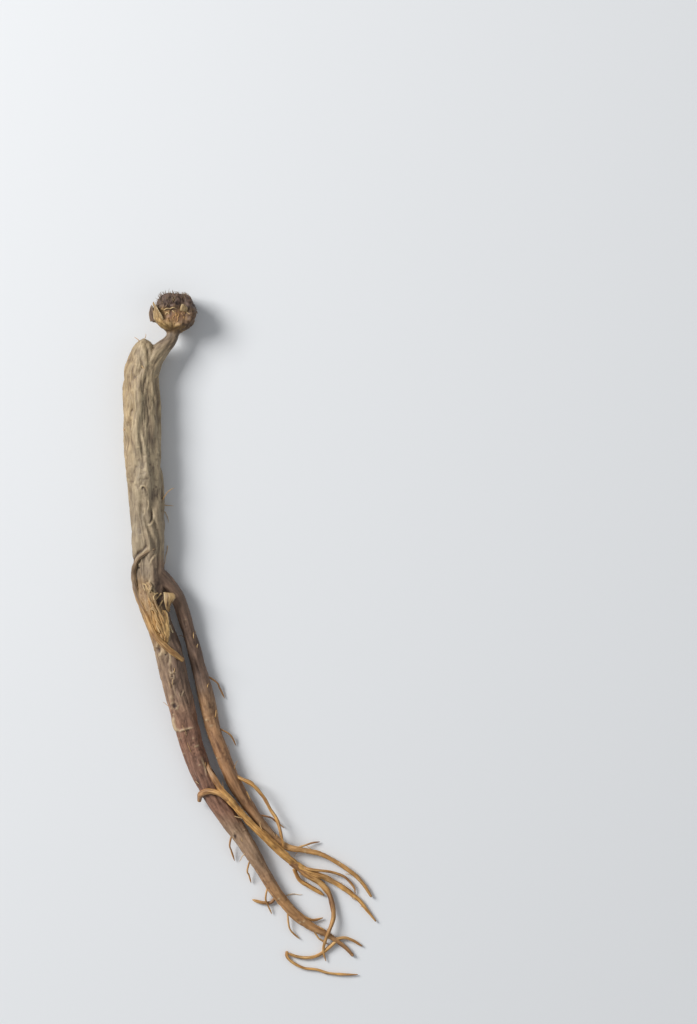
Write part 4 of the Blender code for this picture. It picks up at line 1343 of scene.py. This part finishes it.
SHELL_SKINS = {
    "bud_scale": {"gold": 0.75, "dark": 0.3},
    "scale_behind": {"gold": 0.4, "dark": 0.85, "red": 0.3},
    "pale_flake": {"gold": 0.6, "pale": 0.25, "red": 0.3},
    "torn_chip": {"gold": 0.8, "dark": 0.28},
    "curled_edge": {"gold": 0.5, "red": 0.3, "dark": 0.15},
    "bark_sheet": {"gold": 0.9, "amber": 0.35, "pale": 0.1},
}


# %% Close a shell round its rim
def shell(into, grid, tint, seed):
    """A closed thin shell; grid holds rows of points of equal length, from its root to its tip."""
    last_row, last_column = len(grid) - 1, len(grid[0]) - 1
    sides = []
    for sign in (1, -1):
        layer = []
        for j, row in enumerate(grid):
            layer_row = []
            for i, place in enumerate(row):
                across = row[min(i + 1, last_column)] - row[max(i - 1, 0)]
                along = grid[min(j + 1, last_row)][i] - grid[max(j - 1, 0)][i]
                way = across.cross(along).normalized()
                rib = noise.noise(Vector((i * 0.5, seed, j * 0.11)))
                lifted = place + way * (sign * SHELL_THICKNESS * 0.5 + SHELL_RIBS * rib)
                hollow = max(0.0, -2.0 * rib)
                layer_row.append(into.point(lifted, (i * 0.2, seed, j * 0.25), hollow=hollow, **tint(j, i)))
            layer.append(layer_row)
        sides.append(layer)
    top, bottom = sides
    for j in range(last_row):
        for i in range(last_column):
            into.faces.append((top[j][i], top[j][i + 1], top[j + 1][i + 1], top[j + 1][i]))
            into.faces.append((bottom[j][i], bottom[j + 1][i], bottom[j + 1][i + 1], bottom[j][i + 1]))
        into.faces.append((top[j][0], top[j + 1][0], bottom[j + 1][0], bottom[j][0]))
        into.faces.append((top[j + 1][-1], top[j][-1], bottom[j][-1], bottom[j + 1][-1]))
    for i in range(last_column):
        into.faces.append((top[0][i + 1], top[0][i], bottom[0][i], bottom[0][i + 1]))
        into.faces.append((top[-1][i], top[-1][i + 1], bottom[-1][i + 1], bottom[-1][i]))


def shell_between(into, left, right, bulge, kinds, seed):
    """A shell that spans two edges; its right edge is jagged."""
    left, right = (smooth_route([(*knot, 0.0) for knot in edge], SHELL_STEP) for edge in (left, right))
    rows = max(len(left), len(right))
    grid = []
    for j in range(rows):
        start = left[round(j / (rows - 1) * (len(left) - 1))].xyz
        end = right[round(j / (rows - 1) * (len(right) - 1))].xyz
        jag = 0.22 * noise.noise(Vector((j * 0.8, seed, 4.0)))
        jag += 0.1 * noise.noise(Vector((j * 2.1, seed, 8.0)))
        row = []
        for i in range(SHELL_COLUMNS + 1):
            u = i / SHELL_COLUMNS
            place = start.lerp(end, u) + (end - start).normalized() * jag * u
            row.append(place + UP * (bulge * 4 * u * (1 - u) + 0.1 * noise.noise(place * 1.2)))
        grid.append(row)

    def tint(j, i):
        rim = max(1 - min(i, SHELL_COLUMNS - i) / 1.6, 0.8 * (1 - (rows - 1 - j) / 1.6), 0.0)
        pale, dark = kinds.get("pale", 0.0), kinds.get("dark", 0.0)
        return {**kinds, "pale": max(pale, 0.8 * rim), "dark": dark * (1 - rim)}

    shell(into, grid, tint, seed)


shell_skin = Skin()
for i, (name, (left, right, bulge)) in enumerate(SHELLS.items()):
    shell_between(shell_skin, left, right, bulge, SHELL_SKINS[name], 40.0 + i)
piece_from("scales_and_chips", shell_skin, root_skin)

# %% [markdown]
# ## Threads in the stem scar
#
# The bed of the scar shows the torn ends of the stem's vessels: small golden curls on red brown. A pale
# crest runs above it, where cup and stub meet, and one pale thread in the bed is a painted highlight.

# %% Lay threads over the scar
SCAR_THREADS = {
    "crest": ((-19.4, 74.4), (-18.7, 74.75), (-18.0, 74.7), (-17.3, 74.95), (-16.5, 74.7)),
    "curl": ((-19.1, 73.3), (-18.8, 73.8), (-18.3, 73.7), (-18.1, 73.3)),
    # the third thread is a pale thread that stands for a glint of light: a painted highlight
    "glint": ((-17.5, 74.3), (-17.2, 74.1), (-16.9, 73.7)),
    "right_edge": ((-14.4, 74.2), (-13.9, 73.7), (-13.4, 73.4)),
}
CREST_RADIUS = 0.12
BED_THREADS = 14
BED_THREAD_RADIUS = (0.07, 0.12)
BED_THREAD_SEED = 33


def cup_radius(height):
    """Radius of the head's profile at a height up its axis."""
    heights, radii = zip(*HEAD_PROFILE[:-1])
    return float(np.interp(height, heights, radii))


def surface_thread(into, points, radius, seed, kinds):
    """A thread that lies on the core's upper side."""
    knots = [(x, y, skin_height(x, y, 6.0) + 0.6 * radius, radius) for x, y in points]
    loft(into, knots, 8, 0.2, fibre_shape, seed, lambda share, place: kinds, thin_tip=0.6)


thread_skin = Skin()
for i, points in enumerate(SCAR_THREADS.values()):
    surface_thread(thread_skin, points, CREST_RADIUS, 140.0 + i, {"gold": 0.8, "pale": 0.4})
draw = random.Random(BED_THREAD_SEED)
for i in range(BED_THREADS):
    x = SCAR_CENTRE[0] + draw.uniform(-2.9, 2.6)
    y = SCAR_CENTRE[1] + draw.uniform(-2.3, 0.9)
    lean, bend, length = draw.uniform(-0.7, 0.5), draw.uniform(-0.4, 0.4), draw.uniform(0.4, 1.3)
    points = [(x + lean * t + bend * math.sin(math.pi * t), y + length * t) for t in (0.0, 0.33, 0.66, 1.0)]
    kinds = {"gold": 0.5, "red": draw.uniform(0.5, 1.0), "amber": draw.uniform(0.1, 0.5), "dark": 0.1}
    surface_thread(thread_skin, points, draw.uniform(*BED_THREAD_RADIUS), 150.0 + i, kinds)
piece_from("scar_threads", thread_skin, root_skin)

# %% [markdown]
# ## Hair roots
#
# Short hair roots stand out from the outer sides of the legs and sweep towards the tips. The plain solid
# has them too, from the same seeded draw, so the order of the draws matters here.

# %% The hair roots that the solid root has too
FINE_ROOTLETS = 5  # on each leg
FINE_RADIUS = 0.31
FINE_LENGTH = (2.5, 5.0)
FINE_SEED = 6
HAIR_ROOT_SHARE = 0.72  # of the solid root's radius, which is kept thick enough to hold


def hair_root_routes(leg, outer_side, draw, first_share, last_share):
    """Knots of the hair roots between two shares of a leg's length."""
    line = smooth_route(leg, 1.0)
    for i in range(FINE_ROOTLETS):
        share = first_share + (last_share - first_share) * i / (FINE_ROOTLETS - 1)
        k = round(share * (len(line) - 2))
        knot, along = line[k], (line[k + 1].xyz - line[k].xyz).normalized()
        side = along.cross(UP).normalized() * outer_side
        length = draw.uniform(*FINE_LENGTH)
        start = line[k - 2].xyz + UP * draw.uniform(-0.2, 0.3) * knot.w
        sweep = draw.uniform(0.9, 1.5)
        knots = [(*start, FINE_RADIUS)]
        for t in (0.3, 0.65, 1.0):
            outward = side * (knot.w + 0.5 * length * (1 - (1 - t) ** 2))
            onward = along * length * (0.35 * t + sweep * 0.6 * t * t)
            point = knot.xyz + outward + onward + side * draw.uniform(-0.3, 0.3)
            height = max(FINE_RADIUS + 0.1, start.z + (FINE_RADIUS + 0.2 - start.z) * t)
            knots.append((point.x, point.y, height, FINE_RADIUS))
        yield knots


hair_skin = Skin()
draw = random.Random(FINE_SEED)
hair_root_knots = [
    *hair_root_routes(MAIN_LEG, 1, draw, 0.62, 0.92),
    *hair_root_routes(SIDE_LEG, -1, draw, 0.3, 0.8),
]
for i, knots in enumerate(hair_root_knots):
    thinner = [(x, y, z, HAIR_ROOT_SHARE * radius) for x, y, z, radius in knots]
    loft(hair_skin, thinner, 12, 0.2, rootlet_shape, 120.0 + i, golden_tint(0.35, 9.0 + i), thin_tip=0.75)

# %% [markdown]
# ## Hairs
#
# The finest hairs are set one by one where the real root shows them, and a seeded draw strews more along
# the legs and the rootlets. A hair is a walk: each step keeps most of the last one's way, turns a little,
# and sinks towards the table.

# %% Walks of hair
HAIR_RADIUS = (0.06, 0.13)
SET_HAIR_RADIUS = 0.11
SET_DROOP, STREWN_DROOP = 0.12, 0.22
HAIR_STEPS = 6
HAIR_SEED = 52
SET_HAIRS = (
    # start (x, y), way (x, y), length, lift above the skin
    ((-19.7, 31.3), (1.1, 4.2), 4.4, 0.1),
    ((-19.4, 29.7), (2.2, -0.6), 2.4, 0.1),
    ((-19.4, 28.0), (1.9, -1.6), 3.2, 0.1),
    ((-18.9, 19.9), (-0.3, -5.1), 5.2, 0.1),
    ((-28.6, 47.1), (0.9, 1.6), 1.6, 0.1),
    ((-24.3, 61.3), (0.5, -0.9), 1.0, 0.15),
    ((-21.5, 59.0), (-0.5, -1.2), 1.2, 0.15),
    ((-25.2, 67.4), (-0.8, 1.6), 1.8, 0.1),
    ((-24.0, 67.9), (0.5, 1.5), 1.6, 0.1),
    ((-1.0, -50.6), (-1.6, -2.2), 2.9, 0.0),
    ((-0.4, -36.7), (1.6, -3.2), 9.4, 0.1),
    ((8.8, -60.4), (2.2, 1.2), 4.6, 0.0),
)
STREWN_HAIRS = {"main_leg": (MAIN_LEG, 26), "side_leg": (SIDE_LEG, 20), "golden_root": (GOLDEN_ROOT, 14)}


def walk_hair(into, draw, start, way, length, radius, droop, seed):
    """One hair; droop says how much it sinks at each step."""
    place, way = start.copy(), way.normalized()
    knots = [(*(place - way * 0.4), radius)]
    for k in range(HAIR_STEPS):
        knots.append((*place, radius * (1 - 0.6 * k / HAIR_STEPS)))
        turn = Vector((draw.uniform(-1, 1), draw.uniform(-1, 1), draw.uniform(-0.5, 0.5))) * 0.3
        way = (way + turn - UP * droop).normalized()
        place = place + way * length / HAIR_STEPS
        place.z = max(place.z, radius)
    paleness, redness = draw.uniform(0.0, 0.8), draw.uniform(-0.3, 0.5)
    kinds = {"gold": 0.9, "pale": paleness, "red": max(0.0, redness)}
    loft(into, knots, 5, 0.45, fibre_shape, seed, lambda share, place: kinds, thin_tip=0.6)


# %% Set the hairs one by one, then strew the rest
draw = random.Random(HAIR_SEED)
for i, ((x, y), (way_x, way_y), length, lift) in enumerate(SET_HAIRS):
    start = Vector((x, y, skin_height(x, y, 0.3) + lift))
    way = Vector((way_x, way_y, 0.3))
    walk_hair(hair_skin, draw, start, way, length, SET_HAIR_RADIUS, SET_DROOP, 200.0 + i)
for knots, count in STREWN_HAIRS.values():
    line = stations(knots, 0.6)
    for i in range(count):
        k = round((0.12 + 0.86 * draw.random()) * (len(line) - 2))
        centre, radius, _, across, above = line[k]
        angle = draw.uniform(-0.2, 1.2) * math.pi
        outward = across * math.cos(angle) + above * math.sin(angle)
        along = above.cross(across) * -1
        way = outward + along * draw.uniform(1.0, 2.6)
        length = draw.uniform(0.7, 2.8)
        start = centre + outward * radius * 0.9
        thickness = draw.uniform(*HAIR_RADIUS)
        walk_hair(hair_skin, draw, start, way, length, thickness, STREWN_DROOP, 300.0 + i)
piece_from("hair_roots", hair_skin, golden_skin)

# %% [markdown]
# ## Fibres on the stub
#
# The stem tore off and left a brush of short dark fibres. They start on the stub's surface, point up its
# axis, and spread like an old broom.

# %% Brush of the stub
STUB_FIBRES = 420
STUB_FIBRE_RADIUS = (0.05, 0.1)
STUB_BAND = (4.9, 8.9)  # mm up the head's axis
STUB_DROOP = 0.03
STUB_SEED = 87

brush_skin = Skin()
draw = random.Random(STUB_SEED)
for i in range(STUB_FIBRES):
    angle = draw.uniform(0, 2 * math.pi)
    height = draw.uniform(*STUB_BAND)
    base = head_point(height, cup_radius(height) * draw.uniform(0.8, 1.0), angle)
    away = (HEAD_ACROSS * math.cos(angle) + HEAD_ABOVE * math.sin(angle)) * draw.uniform(0.0, 0.3)
    way = HEAD_AXIS + away - HEAD_ACROSS * draw.uniform(0.3, 0.6)
    length = draw.uniform(0.6, 1.6)
    thickness = draw.uniform(*STUB_FIBRE_RADIUS)
    walk_hair(brush_skin, draw, base, way, length, thickness, STUB_DROOP, 600.0 + i)
for i, place in enumerate(brush_skin.points):
    brush_skin.notes["dark"][i] = 0.75 + 0.25 * noise.noise(Vector(place) * 0.9)
    brush_skin.notes["red"][i] = 0.8
piece_from("stub_brush", brush_skin, root_skin)

# %% [markdown]
# ## The floor and the light
#
# The table is plain and pale. One large soft light stands to the upper left, where the light in the
# photograph comes from, and a weaker one fills the other side.

# %% Table and lights
TABLE_REACH = 3.0


def add_table():
    """A flat pale sheet, the stage of the scene."""
    mesh = bpy.data.meshes.new("table")
    corners = [(x * TABLE_REACH, y * TABLE_REACH, 0.0) for x, y in ((-1, -1), (1, -1), (1, 1), (-1, 1))]
    mesh.from_pydata(corners, [], [(0, 1, 2, 3)])
    table = bpy.data.objects.new("table", mesh)
    bpy.context.scene.collection.objects.link(table)
    material = bpy.data.materials.new("table")
    material.use_nodes = True
    shader = material.node_tree.nodes["Principled BSDF"]
    shader.inputs["Base Color"].default_value = (0.72, 0.73, 0.74, 1.0)
    shader.inputs["Roughness"].default_value = 0.7
    mesh.materials.append(material)


def add_softbox(name, place, size, power):
    """A square soft light that faces the middle of the table."""
    light = bpy.data.lights.new(name, "AREA")
    light.shape = "SQUARE"
    light.size = size
    light.energy = power
    softbox = bpy.data.objects.new(name, light)
    softbox.location = place
    softbox.rotation_euler = (-Vector(place)).to_track_quat("-Z", "Y").to_euler()
    bpy.context.scene.collection.objects.link(softbox)


add_table()
add_softbox("key_light", place=(-0.7, 0.4, 0.6), size=0.45, power=11.6)
add_softbox("fill_light", place=(0.7, -0.2, 0.6), size=0.8, power=0.7)
world = bpy.data.worlds.new("room")
world.use_nodes = True
background = world.node_tree.nodes["Background"]
background.inputs["Color"].default_value = (0.93, 0.96, 1.0, 1.0)
background.inputs["Strength"].default_value = 0.37
bpy.context.scene.world = world
bpy.context.scene.view_settings.view_transform = "Standard"
lights = [item.name for item in bpy.context.scene.objects if item.type == "LIGHT"]
print("lights:", ", ".join(lights))
